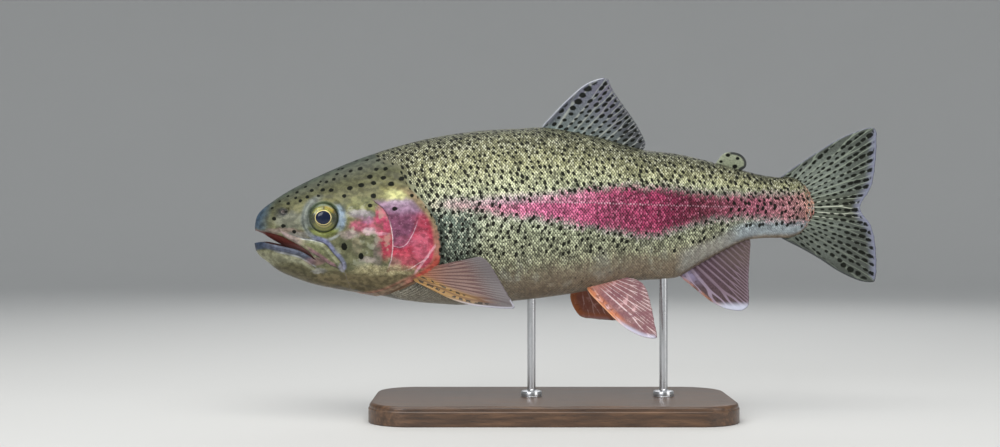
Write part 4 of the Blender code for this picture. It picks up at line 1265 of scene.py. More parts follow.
# the bare skin of the head: strength, colour and masks, each painted over the ones before.
# x and z are the places along and up, drifting a little so that no edge is straight
headTop = [(-0.2, (0.15, 0.15, 0.068)), (0.2, (0.18, 0.175, 0.075)), (0.5, (0.135, 0.13, 0.058)),
           (0.75, (0.074, 0.078, 0.043)), (1.0, (0.042, 0.054, 0.044))]
headLayers = [
    # the head's colours in bands, darker downwards; the darkest, on the throat, is partly painted shade under
    # the head
    (1.0, (0.136, 0.137, 0.0744), [("z", -8, -22)]),
    (1.0, (0.136, 0.111, 0.0589), [("z", -41, -50)]),
    (1.0, (0.0918, 0.0737, 0.0384), [("z", -50, -60)]),
    (0.9, (0.224, 0.221, 0.143), [("x", 58, 34), ("z", -29, -33), ("z", -43, -38)]),
    (0.9, (0.0918, 0.0804, 0.0465), [("x", 50, 34), ("z", -37, -43)]),
    # snout and upper lip
    (0.8, (0.034, 0.07, 0.125), [("x", 17, 3), ("z", -20, -13)]),
    (0.55, (0.15, 0.16, 0.15), [("oval", 27, -9, 13, 7)]),
    (0.55, (0.048, 0.0544, 0.0476), [("oval", 20, -3, 5, 4)]),
    (0.75, (0.192, 0.141, 0.122), [("oval", 20, -16.5, 17, 2.4)]),
    (0.55, (0.216, 0.198, 0.197), [("oval", 36, -19.5, 11, 2.6)]),
    # round the eye: folds ahead, bluish skin behind, an olive line under it
    (0.75, (0.173, 0.196, 0.19), [("eye", 18.5, 15), ("along", 54, 44)]),
    (0.7, (0.0576, 0.07, 0.0608), [("eye", 13.4, 12.2), ("eye", 10.8, 11.6), ("along", 50, 44)]),
    (0.6, (0.064, 0.077, 0.0646), [("eye", 16.9, 15.9), ("eye", 14.4, 15.2), ("along", 44, 39),
        ("z", -20, -15)]),
    (0.85, (0.25, 0.33, 0.43), [("eye", 17.8, 14), ("along", 57, 63), ("z", -19, -12), ("z", 5, 0)]),
    # painted shade over the top of the eye's rim
    (0.8, (0.0576, 0.0875, 0.0456), [("eye", 13, 11.2), ("tall", -8, 0)]),
    (0.8, (0.16, 0.182, 0.0418), [("eye", 14.6, 12.8), ("tall", -12, -17)]),
    (0.55, (0.269, 0.294, 0.304), [("eye", 17.4, 16), ("eye", 14.2, 15.4), ("tall", -17, -20)]),
    # clouds behind the eye and the bright patch over the gill cover
    (0.55, (0.284, 0.289, 0.112), [("oval", 78, 2, 10, 6)]),
    (0.65, (0.0774, 0.085, 0.0344), [("oval", 83, 5, 4.2, 2.8)]),
    (0.5, (0.0774, 0.085, 0.0387), [("oval", 75, 0, 3.4, 2.2)]),
    (0.6, (0.361, 0.34, 0.129), [("oval", 103, 8, 12, 6)]),
    (0.8, (0.602, 0.595, 0.258), [("oval", 104, 8.5, 8, 4.2)]),
    (0.7, (0.516, 0.442, 0.55), [("oval", 106, 3.2, 9, 2)]),
    (0.62, (0.361, 0.315, 0.396), [("oval", 80, -4.5, 10, 3.2)]),
    # pink and red of the cheek
    (0.45, (0.382, 0.143, 0.186), [("oval", 82, -12.5, 12, 6.5)]),
    (0.75, (0.466, 0.0882, 0.162), [("oval", 80, -12.5, 9, 4.4)]),
    (0.6, (0.35, 0.168, 0.294), [("oval", 84, -8.5, 5, 3)]),
    (0.7, (0.657, 0.47, 0.529), [("oval", 85.5, -16.5, 5, 2.8)]),
    (0.6, (0.466, 0.353, 0.353), [("oval", 71, -19, 7, 3)]),
    (0.92, (0.5, 0.066, 0.142), [("oval", 95.5, -10, 7.6, 11)]),
    (0.9, (0.424, 0.0378, 0.0784), [("oval", 97, -26, 6.6, 10.5)]),
    (0.6, (0.657, 0.336, 0.412), [("oval", 93, -18.5, 7, 1.5)]),
    (0.7, (0.18, 0.147, 0.132), [("oval", 91, -32, 3.6, 11)]),
    (0.55, (0.445, 0.37, 0.353), [("oval", 84, -37, 6, 2.6)]),
    (0.22, (0.424, 0.328, 0.245), [("oval", 76, -27, 4, 6)]),
    # gill cover
    (0.95, (0.427, 0.0378, 0.0744), [onCover, ("gill", 0.2, -0.4), ("z", 6, -3), ("z", -46, -41)]),
    (0.93, (0.164, 0.0605, 0.113), [onCover, ("gill", 0.2, -0.4), ("z", 6, -3), ("side", 3.2, -3)]),
    (0.55, (0.32, 0.084, 0.135), [("oval", 110, -24, 8, 4), onCover]),
    (0.5, (0.62, 0.11, 0.15), [("oval", 108, -35, 9, 4.5), onCover, ("gill", 0.2, -0.6)]),
    (0.45, (0.25, 0.05, 0.08), [("oval", 122, -10, 6, 7), onCover, ("gill", 0.2, -0.6)]),
    (0.25, (0.66, 0.25, 0.36), [("oval", 122, -27, 6.5, 11), ("gill", -0.4, -2)]),
    # painted highlights: pale pink flecks of wet sparkle on the gill cover
    (0.4, (0.51, 0.302, 0.387), [onCover, ("gill", -1, -3), ("flecks", 0.6, 0.68), ("z", 2, -4),
        ("z", -44, -38)]),
    (0.7, (0.357, 0.26, 0.37), [onCover, ("gill", 0.2, -1.4), ("z", 8, 2), ("z", -7, 1)]),
    (0.55, (0.282, 0.084, 0.099), [onCover, ("gill", 0.2, -0.6), ("z", -32, -38), ("z", -46, -41),
        ("x", 128, 118)]),
    (0.55, (0.244, 0.21, 0.153), [("oval", 103, -40, 5, 5), onCover]),
    (0.6, (0.34, 0.294, 0.158), [("oval", 96, -44, 22, 3.8), ("gill", 0.6, -0.4)]),
    (0.6, (0.5, 0.45, 0.28), [("oval", 96, -43.5, 23, 4), ("gill", 0.6, -0.4), ("flecks", 0.49, 0.6)]),
    # soft rim of the gill cover
    (0.9, (0.263, 0.197, 0.117), [("gill", -3.4, 0.3), ("gill", 3.8, 3.2), ("tall", 17, 9)]),
    (0.8, (0.338, 0.134, 0.104), [("gill", -3, 0.4), ("gill", 3.8, 3.2), ("tall", -10, -22)]),
    (0.85, (0.432, 0.063, 0.045), [("gill", -2.6, 0.3), ("gill", 3.8, 3.2), ("tall", -30, -38),
        ("x", 114, 121)]),
    (0.9, (0.207, 0.151, 0.099), [("gill", -0.9, 0.1), ("gill", 3.8, 3.2), ("x", 114, 106),
        ("tall", -40, -48)]),
    # the thin pale and dark edges of the bones
    (0.6, (0.74, 0.62, 0.66), [("line", "cheek", 0.42), ("along", 97, 101), ("tall", -47, -42)]),
    (0.75, (0.055, 0.02, 0.045), [("line", "cheek", 0.4), ("along", 86, 90), ("tall", -14, -8)]),
    (0.55, (0.7, 0.48, 0.56), [("line", "suture", 0.36), ("cheek", -0.5, 0.5), ("tall", -8, -15)]),
    (0.55, (0.78, 0.62, 0.62), [("line", "bone", 0.36), ("tall", -27, -35), ("along", 108, 118)]),
    (0.6, (0.66, 0.36, 0.42), [("line", "streak", 0.95), ("tall", -22, -30), ("tall", -48, -44),
        ("gill", 0, -1)]),
    # maxilla: olive plate, pale upper edge, lilac groove over it
    (0.92, (0.2, 0.209, 0.106), [("maxilla", -0.2, 0.5), ("along", 24, 32)]),
    (0.6, (0.288, 0.295, 0.202), [("maxilla", 0.6, 1.6), ("groove", -3.4, -2), ("along", 36, 42)]),
    (0.7, (0.264, 0.189, 0.193), [("maxilla", -0.2, 0.5), ("along", 42, 32)]),
    # the pale upper edge of the plate, partly a painted highlight along its raised rim
    (0.65, (0.48, 0.508, 0.506), [("groove", -1.2, -0.5), ("groove", 0.3, -0.2), ("along", 34, 38),
        ("along", 53, 50)]),
    (0.85, (0.176, 0.193, 0.331), [("groove", -0.3, 0.4), ("groove", 4.2, 2), ("along", 40, 50)]),
    (0.55, (0.096, 0.0984, 0.0598), [("groove", -2.4, -3), ("groove", -5, -4), ("along", 44, 50)]),
    (0.8, (0.248, 0.127, 0.156), [("maxilla", -0.3, 0.4), ("maxilla", 3.6, 2), ("groove", -3.2, -4.6),
        ("along", 38, 44)]),
    (0.6, (0.048, 0.0451, 0.0414), [("line", "maxilla", 0.4), ("along", 40, 48)]),
    (0.6, (0.416, 0.41, 0.534), [("oval", 65, -41.5, 2.4, 3.4)]),
    (0.55, (0.04, 0.041, 0.0644), [("groove", -0.4, 0.1), ("groove", 1, 0.4), ("along", 26, 34)]),
    # lower lip
    (0.92, (0.075, 0.086, 0.13), [("lip", -5.4, -3.4), ("lip", 0.4, -0.4), ("along", 48, 42)]),
    (0.9, (0.0275, 0.0425, 0.0728), [("lip", -6.5, -4.6), ("lip", 0.4, -0.4), ("x", 13, 6)]),
    (0.7, (0.28, 0.29, 0.31), [("lip", -6, -5), ("lip", -3.9, -4.6), ("along", 12, 22), ("along", 49, 44)]),
    # painted highlight: a pale streak under the lower lip
    (0.6, (0.33, 0.33, 0.225), [("lip", -10, -8), ("lip", -5.6, -6.8), ("along", 18, 28),
        ("along", 50, 42)]),
    # painted shade on the underside of the lower jaw
    (0.45, (0.075, 0.07, 0.035), [("lip", -17, -14), ("lip", -10, -12), ("along", 14, 24),
        ("along", 60, 46)]),
    (0.7, (0.18, 0.1, 0.104), [("oval", 47, -38, 8, 3.2)]),
    (0.55, (0.3, 0.3, 0.291), [("oval", 48, -45, 6, 1.8)]),
    # nostril
    (0.45, (0.036, 0.036, 0.03), [("nose", 7, 3.6), ("flecks", 0.42, 0.56)]),
    (0.8, (0.036, 0.036, 0.036), [("nose", 4.4, 2.6)]),
    (0.6, (0.336, 0.264, 0.248), [("nose", 1.7, 0.9), ("flecks", 0.4, 0.55)]),
    # under the root of the pectoral fin
    (0.9, (0.58, 0.075, 0.045), [("oval", 119, -46.5, 11, 4.2), ("gill", 1.5, 3.4)]),
]


def skinMaterial(group):
    material, board, shader = newMaterial("trout_skin", {
        "Coat Roughness": 0.14, "Coat IOR": 1.36, "IOR": 1.28})
    along, tall, relative = board.read("along"), board.read("tall"), board.read("relative")
    broad, fine, speck = board.noise(8.0, 3), board.noise(1.5, 4), board.noise(0.5, 2)
    flow = board.noise(3.4, 4, 0.50, stretch=(0.8, 1, 1.1))
    drift, shake = board.blend(broad, 6.0, -3.0), board.blend(fine, 1.8, -0.9)
    x, z, _ = relief["nostrils"][0]
    board.fields.update(
        x=board.add(along, board.add(drift, shake)), z=board.add(tall, board.less(shake, drift)),
        wander=board.blend(fine, 1.0, -0.5), flecks=board.noise(1.1, 3, 0.6),
        # the side of the curved seam that divides the gill cover, and a streak low on it
        side=board.less(board.times(shake, 1.6), board.read("suture")),
        streak=board.less(board.blend(along, 0.80, board.times(tall, -0.60)), 121.5),
        nose=board.away(x, z, 1.0, 0.8),
        start=board.add(board.read("scaled"), board.blend(fine, 2.0, -1.0)))
    color = board.layers(board.ramp(relative, headTop, -0.2, 1.0), *headLayers)
    color = board.shade(color, board.times(board.step(flow, 0.34, 0.66, 0.66, 1.32), board.step(
        speck, 0.25, 0.75, 0.90, 1.10)))
    # pale silvery patches, which are painted reflection, and olive patches on the side of the head
    patches = board.mask(("z", 10, 2), ("z", -46, -38), ("x", 58, 66), ("cheek", 1, -3))
    color = board.mix(board.times(patches, board.step(broad, 0.53, 0.63), 0.38), color, (0.47, 0.49, 0.36))
    color = board.mix(board.times(patches, board.step(broad, 0.47, 0.38), 0.45), color, (0.085, 0.095, 0.055))
    # the body's colours under the scales, darkened as painted shade in the gaps between the scales
    flank = useFlank(board, group, fine)
    color = board.mix(board.mask(("start", -0.6, 1.2)), color, board.shade(flank["Color"], 0.42))
    color = board.layers(color, (1.0, (0.20, 0.12, 0.075), [("gill", 2.9, 3.6), ("scaled", 0.6, -0.4),
                                                            ("tall", 12, 4)]))
    black = board.step(board.add(board.read("spot"), board.blend(fine, 1.4, -0.7)), -0.1, 0.5)
    color = board.mix(board.times(black, 0.98), color, flankColors["spot"])
    mouth = board.mix(board.mask(("tall", -24, -30)), (0.115, 0.03, 0.024), (0.24, 0.12, 0.11))
    board.fill(shader, {
        "Base Color": board.mix(board.mask(("lining", 0.45, 0.95)), color, mouth),
        "Coat Weight": board.blend(black, -0.11, 0.14), "Specular IOR Level": board.blend(black, -0.36, 0.42),
        "Roughness": board.blend(fine, 0.22, 0.28),
        "Metallic": board.times(board.mask(("z", 12, -4), ("lining", 0.5, 0.1)), 0.15),
        "Normal": board.bump(board.add(board.times(fine, 0.5), flow), 0.07, 0.3)})
    return material


def finSpots():
    # dark ovals in rows between the rays, for the fins that carry them
    tree, board, get, results = newGroup(
        "finSpots", ("Ray", "Reach", "Spacing", "Half Length", "Half Width"), (("Mask", "Float"),))
    cell = board.math("FLOOR", get["Ray"])
    across = board.less(board.less(get["Ray"], cell), 0.5)
    seed = board.put("ShaderNodeTexWhiteNoise", {"W": cell}, noise_dimensions="1D").outputs["Value"]
    run = board.add(board.over(get["Reach"], get["Spacing"]), board.times(seed, 7.0))
    number = board.math("FLOOR", run)
    pair = board.put("ShaderNodeCombineXYZ", {"X": cell, "Y": number}).outputs[0]
    chance = board.put("ShaderNodeTexWhiteNoise", {"Vector": pair}, noise_dimensions="2D").outputs["Color"]
    wobble = board.put("ShaderNodeSeparateXYZ", {"Vector": chance}).outputs
    onward = board.less(board.less(run, number), board.blend(wobble["X"], 0.3, 0.35))
    aside = board.add(across, board.blend(wobble["Y"], 0.24, -0.12))
    away = board.length(board.over(board.times(onward, get["Spacing"]), get["Half Length"]),
                        board.over(aside, get["Half Width"]))
    limit = board.blend(wobble["Z"], 0.35, 0.72)
    board.fill(results, {"Mask": board.step(away, board.add(limit, 0.22), board.less(limit, 0.16))})
    return tree


# colours and layers of each fin; oval is the (spacing, half length, half width) of its rows of
# spots, and spots are single ones as (distance, height, radius)
finLook = {
    "dorsal_fin": dict(
        web=(0.125, 0.15, 0.145), far=(0.125, 0.13, 0.17), rays=(0.33, 0.35, 0.31), oval=(5.6, 2.05, 0.29),
        layers=[
            (0.6, (0.24, 0.33, 0.32), [("reach", 9, 2), ("along", 250, 232)]),
            (0.45, (0.14, 0.12, 0.17), [("clouds", 0.4, 0.62), ("rise", 0.4, 0.7)]),
            (0.8, (0.03, 0.036, 0.032), [("streaks", 0.35, 0.75), ("along", 252, 272)]),
            (0.6, (0.05, 0.06, 0.075), [("lead", 4.4, 3), ("lead", 0.7, 1.5), ("reach", 40, 28)]),
            (0.7, (0.55, 0.58, 0.64), [("lead", 1.2, 0.5)])]),
    "caudal_fin": dict(
        web=(0.16, 0.185, 0.155), far=(0.115, 0.135, 0.118), rays=(0.25, 0.29, 0.225),
        oval=(5.8, 2.25, 0.265),
        layers=[
            (0.55, (0.035, 0.04, 0.03), [("streaks", 0.55, 0.8), ("rise", 0.45, 0.75)]),
            (0.5, (0.045, 0.05, 0.042), [("tall", -4, -24)]),
            (0.55, (0.05, 0.055, 0.03), [("tall", 13, 7), ("tall", -12, -6), ("streaks", 0.2, 0.7)]),
            (0.6, (0.62, 0.64, 0.52), [("tall", 8, 4), ("tall", -10, -5), ("streaks", 0.35, 0.1)]),
            (0.6, (0.6, 0.29, 0.2), [("reach", 6, 1), ("tall", 12, 8), ("tall", -12, -8),
                ("clouds", 0.3, 0.55)]),
            (0.8, (0.22, 0.23, 0.33), [("rim", 7.5, 0.5), ("edge", 0.24, 0.29), ("edge", 0.77, 0.71)]),
            (0.6, (0.24, 0.25, 0.33), [("rim", 1.2, 0.4), ("edge", 0.3, 0.24)]),
            (0.8, (0.04, 0.045, 0.05), [("rim", 1.5, 0.7), ("edge", 0.74, 0.8)])]),
    "anal_fin": dict(
        web=(0.078, 0.04, 0.056), far=(0.082, 0.052, 0.056), rays=(0.26, 0.18, 0.235), wide=(0.28, 0.13),
        layers=[
            (0.45, (0.13, 0.095, 0.075), [("tall", -50, -34), ("along", 325, 345)]),
            (0.7, (0.4, 0.35, 0.53), [("lead", 12, 5), ("reach", 22, 6), ("clouds", 0.35, 0.55)]),
            (0.6, (0.36, 0.29, 0.38), [("lead", 12, 5), ("streaks", 0.5, 0.2)]),
            (0.7, (0.42, 0.19, 0.11), [("lead", 2.6, 0.8), ("clouds", 0.35, 0.55)]),
            (0.9, (0.58, 0.61, 0.74), [("tall", -67, -72)])]),
    "pectoral_fin": dict(
        web=(0.19, 0.105, 0.072), far=(0.15, 0.12, 0.108), rays=(0.09, 0.034, 0.03), wide=(0.36, 0.2),
        layers=[
            (0.55, (0.31, 0.18, 0.15), [("streaks", 0.75, 1), ("rise", 0.05, 0.3), ("rise", 0.9, 0.6)]),
            (0.5, (0.13, 0.055, 0.055), [("streaks", 0.62, 0.3), ("rise", 0.2, 0.4), ("rise", 0.92, 0.7)]),
            (0.6, (0.15, 0.145, 0.155), [("rise", 0.66, 0.96)]),
            (0.5, (0.42, 0.16, 0.08), [("reach", 30, 8)]),
            (0.75, (0.55, 0.1, 0.05), [("reach", 16, 3), ("tall", -51, -46)]),
            (0.8, (0.38, 0.22, 0.06), [("lead", 9, 5), ("reach", 60, 34)]),
            (0.7, (0.16, 0.08, 0.04), [("lead", 4.6, 4.2), ("lead", 3.1, 3.5), ("reach", 66, 50)]),
            (0.85, (0.02, 0.016, 0.012), [("lead", 6.4, 6), ("lead", 4.7, 5.2), ("dashes", 0.52, 0.62),
                ("reach", 46, 34)]),
            (0.9, (0.02, 0.016, 0.012), [("lead", 1.3, 1.8), ("lead", 3.4, 2.9), ("dashes", 0.47, 0.36),
                ("reach", 64, 50)]),
            (0.8, (0.5, 0.5, 0.58), [("lead", 1.8, 0.6), ("along", 138, 160)])]),
    "pelvic_fin": dict(
        web=(0.29, 0.115, 0.12), far=(0.25, 0.14, 0.14), rays=(0.55, 0.36, 0.36),
        layers=[
            (0.7, (0.19, 0.065, 0.085), [("clouds", 0.42, 0.6)]),
            (0.6, (0.86, 0.7, 0.72), [("streaks", 0.42, 0.2), ("clouds", 0.62, 0.45), ("rise", 0.1, 0.3)]),
            (0.55, (0.8, 0.5, 0.52), [("clouds", 0.4, 0.3), ("rise", 0.15, 0.3), ("rise", 0.9, 0.7)]),
            (0.55, (0.72, 0.3, 0.2), [("reach", 14, 3)]),
            (0.85, (0.64, 0.2, 0.075), [("lead", 6, 2), ("clouds", 0.25, 0.5), ("tall", -86, -76)]),
            (0.7, (0.2, 0.05, 0.03), [("lead", 5, 3.6), ("lead", 1.4, 2.4), ("dashes", 0.4, 0.25),
                ("tall", -82, -72)]),
            (0.7, (0.82, 0.42, 0.2), [("lead", 1.1, 0.4)]),
            (0.75, (0.6, 0.62, 0.78), [("lead", 4, 1), ("tall", -76, -86)]),
            # painted shade: the right pelvic fin is darker brown
            (0.62, (0.2, 0.065, 0.022), [("right", 0.2, 0.8)])]),
    "adipose_fin": dict(
        web=(0.19, 0.21, 0.14), far=(0.24, 0.265, 0.185), rays=(0.3, 0.3, 0.2),
        spots=[(342, 38.2, 1.6), (349, 35.8, 1.4), (347, 30, 1.8), (337, 33.5, 1.2)],
        layers=[
            (0.95, (0.01, 0.012, 0.014), [("rim", 2.3, 1.5), ("along", 341, 345)])]),
}


def finMaterial(name, spotTree):
    look = finLook[name]
    material, board, shader = newMaterial(name + "_skin", {
        "Coat Weight": 0.2, "Coat Roughness": 0.2, "Coat IOR": 1.36, "IOR": 1.40})
    ray, rise, reach = board.read("ray"), board.read("rise"), board.read("reach")
    fine, clouds = board.noise(1.0, 3), board.noise(6.0, 3)
    dashes = board.add(board.over(reach, 6.0), board.times(clouds, 2.4))
    board.fields.update(clouds=clouds, dashes=board.math("FRACT", dashes))
    color = board.mix(board.step(rise, 0.1, 0.95), look["web"], look["far"])
    color = board.shade(color, board.step(fine, 0.3, 0.7, 0.72, 1.26))
    if fins[name]["rays"]:
        away = board.absolute(board.less(board.math("FRACT", ray), 0.5))
        for forkStart, forkEnd, apart in finShape["forks"]:
            away = board.absolute(board.less(away, board.step(rise, forkStart, forkEnd, 0.0, apart)))
        width = board.step(rise, 0.2, 0.9, *look.get("wide", (0.17, 0.06)))
        onRay = board.step(away, width, board.times(width, 0.3))
        board.fields["streaks"] = board.less(1.0, onRay)
        color = board.mix(board.times(onRay, 0.7), color, look["rays"])
        joints = board.step(board.math("FRACT", board.over(reach, 1.1)), 0.22, 0.05)
        color = board.mix(board.times(joints, onRay, board.step(rise, 0.25, 0.45), 0.35), color,
                          (0.05, 0.045, 0.045))
    color, black = board.layers(color, *look["layers"]), 0.0
    if "oval" in look:
        spacing, half, wide = look["oval"]
        spots = useGroup(board, spotTree, {"Ray": board.add(board.times(ray, 1.35), board.times(fine, 0.25)),
                         "Reach": reach, "Spacing": spacing, "Half Width": wide,
                         "Half Length": board.step(rise, 0.3, 0.95, half * 0.8, half * 1.35)})
        black = board.times(spots["Mask"], board.mask(("rim", 1.2, 2.6)), 0.97)
        color = board.mix(black, color, flankColors["spot"])
    for x, z, radius in look.get("spots", ()):
        one = board.step(board.away(x, z, radius, radius * 0.8), 1.2, 0.85)
        color, black = board.mix(one, color, flankColors["spot"]), board.math("MAXIMUM", one, black)
    if black:
        board.fill(shader, {"Coat Weight": board.blend(black, -0.17, 0.19),
                   "Specular IOR Level": board.blend(black, -0.40, 0.45)})
    board.fill(shader, {"Base Color": color, "Roughness": board.blend(fine, 0.2, 0.32),
               "Normal": board.bump(fine, 0.08, 0.4)})
    return material


eyeShape = dict(
    radius=11.4, halfDepth=8.4, middle=12.9, squareness=3.0, sink=0.25, turns=96,
    lens=(0.55, 5.4),  # how far it bulges, and its radius
    dip=(-0.30, 6.6, 1.5),  # how far the iris dips round it, where, and how widely
    pupil=(51.9, -7.0, 5.3, 4.8),  # its middle, half length and half height
    pointed=0.12,  # how far the pupil runs to a point ahead
)


def eyeMesh(name, side):
    shape = eyeShape
    front = np.concatenate([np.linspace(0, 0.94, 52)[1:], [0.96, 0.975, 0.987, 0.995, 1.0]])
    rings = np.concatenate([front, front[:-1:6][::-1]])
    isFront = np.arange(len(rings)) < len(front)
    dome = (1 - rings ** shape["squareness"]) ** (1 / shape["squareness"]) * shape["halfDepth"]
    # the lens bulges, and the iris dips a little round it
    radius = rings * shape["radius"]
    bulge, lensRadius = shape["lens"]
    dip, dipPlace, dipWidth = shape["dip"]
    swell = bulge * np.sqrt(np.clip(1 - (radius / lensRadius) ** 2, 0, 1))
    swell = swell + dip * hump(radius - dipPlace, dipWidth) - shape["sink"]
    depth = np.where(isFront, dome + swell, -dome)
    turn = np.arange(shape["turns"]) * 2 * math.pi / shape["turns"]
    x = eyePlace[0] + radius[:, None] * np.cos(turn)
    z = eyePlace[1] + radius[:, None] * np.sin(turn)
    grid = np.arange(x.size).reshape(x.shape)
    faces = gridFaces(grid, closed=True)
    for row, pole in ((grid[0], x.size), (grid[-1], x.size + 1)):
        faces += [[int(a), int(b), pole] for a, b in zip(row, np.roll(row, -1))]
    poles = [shape["halfDepth"] + bulge - shape["sink"], -shape["halfDepth"]]
    x, z = np.append(x, [eyePlace[0]] * 2), np.append(z, [eyePlace[1]] * 2)
    out = shape["middle"] + np.append(np.repeat(depth, shape["turns"]), poles)
    isFront = np.append(np.repeat(isFront, shape["turns"]), [True, False])
    mesh = makeMesh(name, toWorld(x, out * side, z), faces)
    faceOut(mesh)
    px, pz, halfLong, halfHigh = shape["pupil"]
    point = 1 + shape["pointed"] * np.clip((px - x) / halfLong, 0, 2) * np.abs((z - pz) / halfHigh)
    pupil = np.hypot((x - px) / halfLong, (z - pz) / halfHigh * point)
    spin = np.arctan2(z - pz, x - px)
    setFields(mesh, pupil=np.where(isFront, pupil, 3), iris=np.hypot(x - eyePlace[0], z - eyePlace[1]),
              up=np.sin(spin), fore=-np.cos(spin))
    return mesh


eyeLayers = [
    (0.7, (0.2, 0.2, 0.05), [("high", -0.25, -0.7), ("iris", 6.6, 7.8), ("iris", 9.6, 8.6)]),
    (0.6, (0.42, 0.36, 0.12), [("high", -0.3, -0.7), ("iris", 5.2, 5.8), ("iris", 7.2, 6.4)]),
    (0.6, (0.03, 0.035, 0.03), [("side", 0.72, 1), ("high", 0.3, 0), ("iris", 6.2, 7.2), ("iris", 9.8, 9)]),
    (0.35, (0.42, 0.24, 0.04), [("high", 0.25, 0.6), ("fore", 0.1, -0.35), ("iris", 6.4, 7.4),
        ("iris", 9.9, 9)]),
    (0.9, (0.06, 0.075, 0.04), [("iris", 8.9, 9.9)]),
    # painted shade from the upper rim over the top of the iris
    (0.85, (0.1, 0.13, 0.07), [("iris", 8.2, 9.2), ("high", 0.55, 0.95)]),
    # the golden ring and the pupil
    (0.92, (0.8, 0.66, 0.28), [("pupil", 1, 1.03), ("pupil", 1.15, 1.08)]),
    (1.0, (0.003, 0.008, 0.032), [("pupil", 1.035, 0.995)])]


def eyeMaterial():
    material, board, shader = newMaterial("trout_eye", {
        "Roughness": 0.5, "Coat Weight": 1.0, "Coat Roughness": 0.02, "Coat IOR": 1.38, "IOR": 1.2})
    fine, broad = board.noise(0.5, 4), board.noise(2.2, 3)
    side = board.add(board.absolute(board.read("fore")), board.blend(broad, -0.7, 0.35))
    board.fields.update(high=board.add(board.read("up"), board.blend(broad, 1.2, -0.6)), side=side)
    mottle = board.step(fine, 0.3, 0.7)
    gold = board.mix(mottle, (0.19, 0.17, 0.022), (0.42, 0.43, 0.12))
    golden = board.mask(("high", 0.22, 0.58), ("side", 0.93, 0.70), ("iris", 10.2, 8.2))
    color = board.mix(mottle, (0.035, 0.042, 0.028), (0.115, 0.12, 0.06))
    color = board.mix(board.times(golden, board.step(side, 0.02, 0.34, 0.15, 1.0)), color, gold)
    board.fill(shader, {"Base Color": board.layers(color, *eyeLayers), "Normal": board.bump(fine, 0.05, 0.3),
               "Metallic": board.times(board.mask(("pupil", 1.0, 1.1)), 0.2)})
    return material


stand = dict(
    size=(260.0, 120.0, 14.0), corner=30.0, edge=2.5, rodRadius=3.0,
    rods={"stand_rod_front": 200.0, "stand_rod_rear": 295.5}, intoBelly=2.5,
    # radius and height over the base of the collar at a rod's foot, with a fine groove round it
    collar=[(3, 5.2), (3.5, 4.5), (6.5, 4), (7.2, 3.7), (7.5, 3), (7.5, 0.9), (7.25, 0.6), (7.5, 0.3),
            (7.5, 0.02), (0.01, 0.02)],
    # the small step below the rounded edge: inset, depth, slope under it and upright part over it
    step=(0.7, 1.0, 0.6, 0.4), foot=0.6,
    flatLoops=(2.2, 5.0),  # loops this far inside the rounded edge keep the top flat
)


def baseMesh():
    long, wide, thick = stand["size"]
    corner, edge, foot = stand["corner"], stand["edge"], stand["foot"]
    inset, depth, slope, upright = stand["step"]
    angle = np.linspace(0, math.pi / 2, 17)

    def loop(inward, height):
        points = []
        for quarter, (right, back) in enumerate([(1, 1), (-1, 1), (-1, -1), (1, -1)]):
            way = angle + quarter * math.pi / 2
            points.append(np.stack([right * (long / 2 - corner) + (corner - inward) * np.cos(way),
                                    back * (wide / 2 - corner) + (corner - inward) * np.sin(way),
                                    way * 0 + height], -1))
        return np.concatenate(points)

    shoulder = thick - edge
    levels = [(foot, 0.0), (0.0, foot), (0.0, shoulder - slope - depth), (inset, shoulder - depth),
              (inset, shoulder - upright)]
    for bend in np.arange(7) / 6 * math.pi / 2:
        levels.append((inset + edge * (1 - math.cos(bend)), shoulder + edge * math.sin(bend)))
    levels += [(edge + gap, thick) for gap in stand["flatLoops"]]
    return tubeMesh("stand_base_wood", np.array([loop(*level) for level in levels]), 30)


def rodMesh(name, along):
    radius, floor = stand["rodRadius"], stand["size"][2]
    top = axisHeight / mm + float(bellyAt(along)) + stand["intoBelly"]
    outline = [(0.01, top), (radius, top)] + [(r, floor + z) for r, z in stand["collar"]]
    return tubeMesh(name + "_steel", turned(outline, 48) + (snoutX / mm + along, 0, 0), 35)


def woodMaterial():
    material, board, shader = newMaterial("dark_walnut", {"Coat Weight": 0.3, "Coat Roughness": 0.22})
    bend = board.noise(60.0, 2, stretch=(0.25, 1, 1))
    shift = board.put("ShaderNodeCombineXYZ", {"Y": board.times(bend, 0.02)}).outputs[0]
    where = board.put("ShaderNodeTexCoord").outputs["Object"]
    moved = board.put("ShaderNodeVectorMath", {0: where, 1: shift}, operation="ADD").outputs[0]
    grain = board.noise(2.2, 5, 0.6, (0.05, 1, 0.6), moved)
    pore = board.step(board.noise(0.5, 2, 0.5, (0.04, 1, 1), moved), 0.42, 0.32)
    color = board.ramp(grain, [(0.25, (0.030, 0.014, 0.007)), (0.5, (0.085, 0.042, 0.020)),
                               (0.7, (0.16, 0.082, 0.040)), (0.9, (0.21, 0.115, 0.06))])
    board.fill(shader, {"Base Color": board.mix(board.times(pore, 0.6), color, (0.018, 0.009, 0.005)),
               "Roughness": board.blend(grain, 0.25, 0.30),
               "Normal": board.bump(board.less(grain, pore), 0.12, 0.35)})
    return material


def steelMaterial():
    material, board, shader = newMaterial("brushed_steel", {"Metallic": 1.0})
    brush, smear = board.noise(0.25, 3, 0.6, stretch=(1, 1, 14)), board.noise(8.0, 2)
    board.fill(shader, {"Base Color": board.mix(brush, (0.46, 0.47, 0.49), (0.66, 0.67, 0.69)),
               "Roughness": board.add(board.blend(brush, 0.14, 0.16), board.times(smear, 0.12)),
               "Normal": board.bump(brush, 0.01, 0.4)})
    return material


sideSpots = {1: bodySpots(1), -1: bodySpots(-1)}
flank = flankGroup()
skinFinish, scaleFinish = skinMaterial(flank), scaleMaterial(flank)
makeSkin(skinFinish)
print("scene: skin made")
tree, oneScale = scaleNodes(), scaleShape()
for side, sideName in ((1, "left"), (-1, "right")):
    for upper, levelName in ((True, "upper"), (False, "lower")):
        scalePiece(f"scales_{sideName}_{levelName}", side, upper, tree, oneScale, scaleFinish)
bpy.data.objects.remove(oneScale)
print("scene: scales laid")

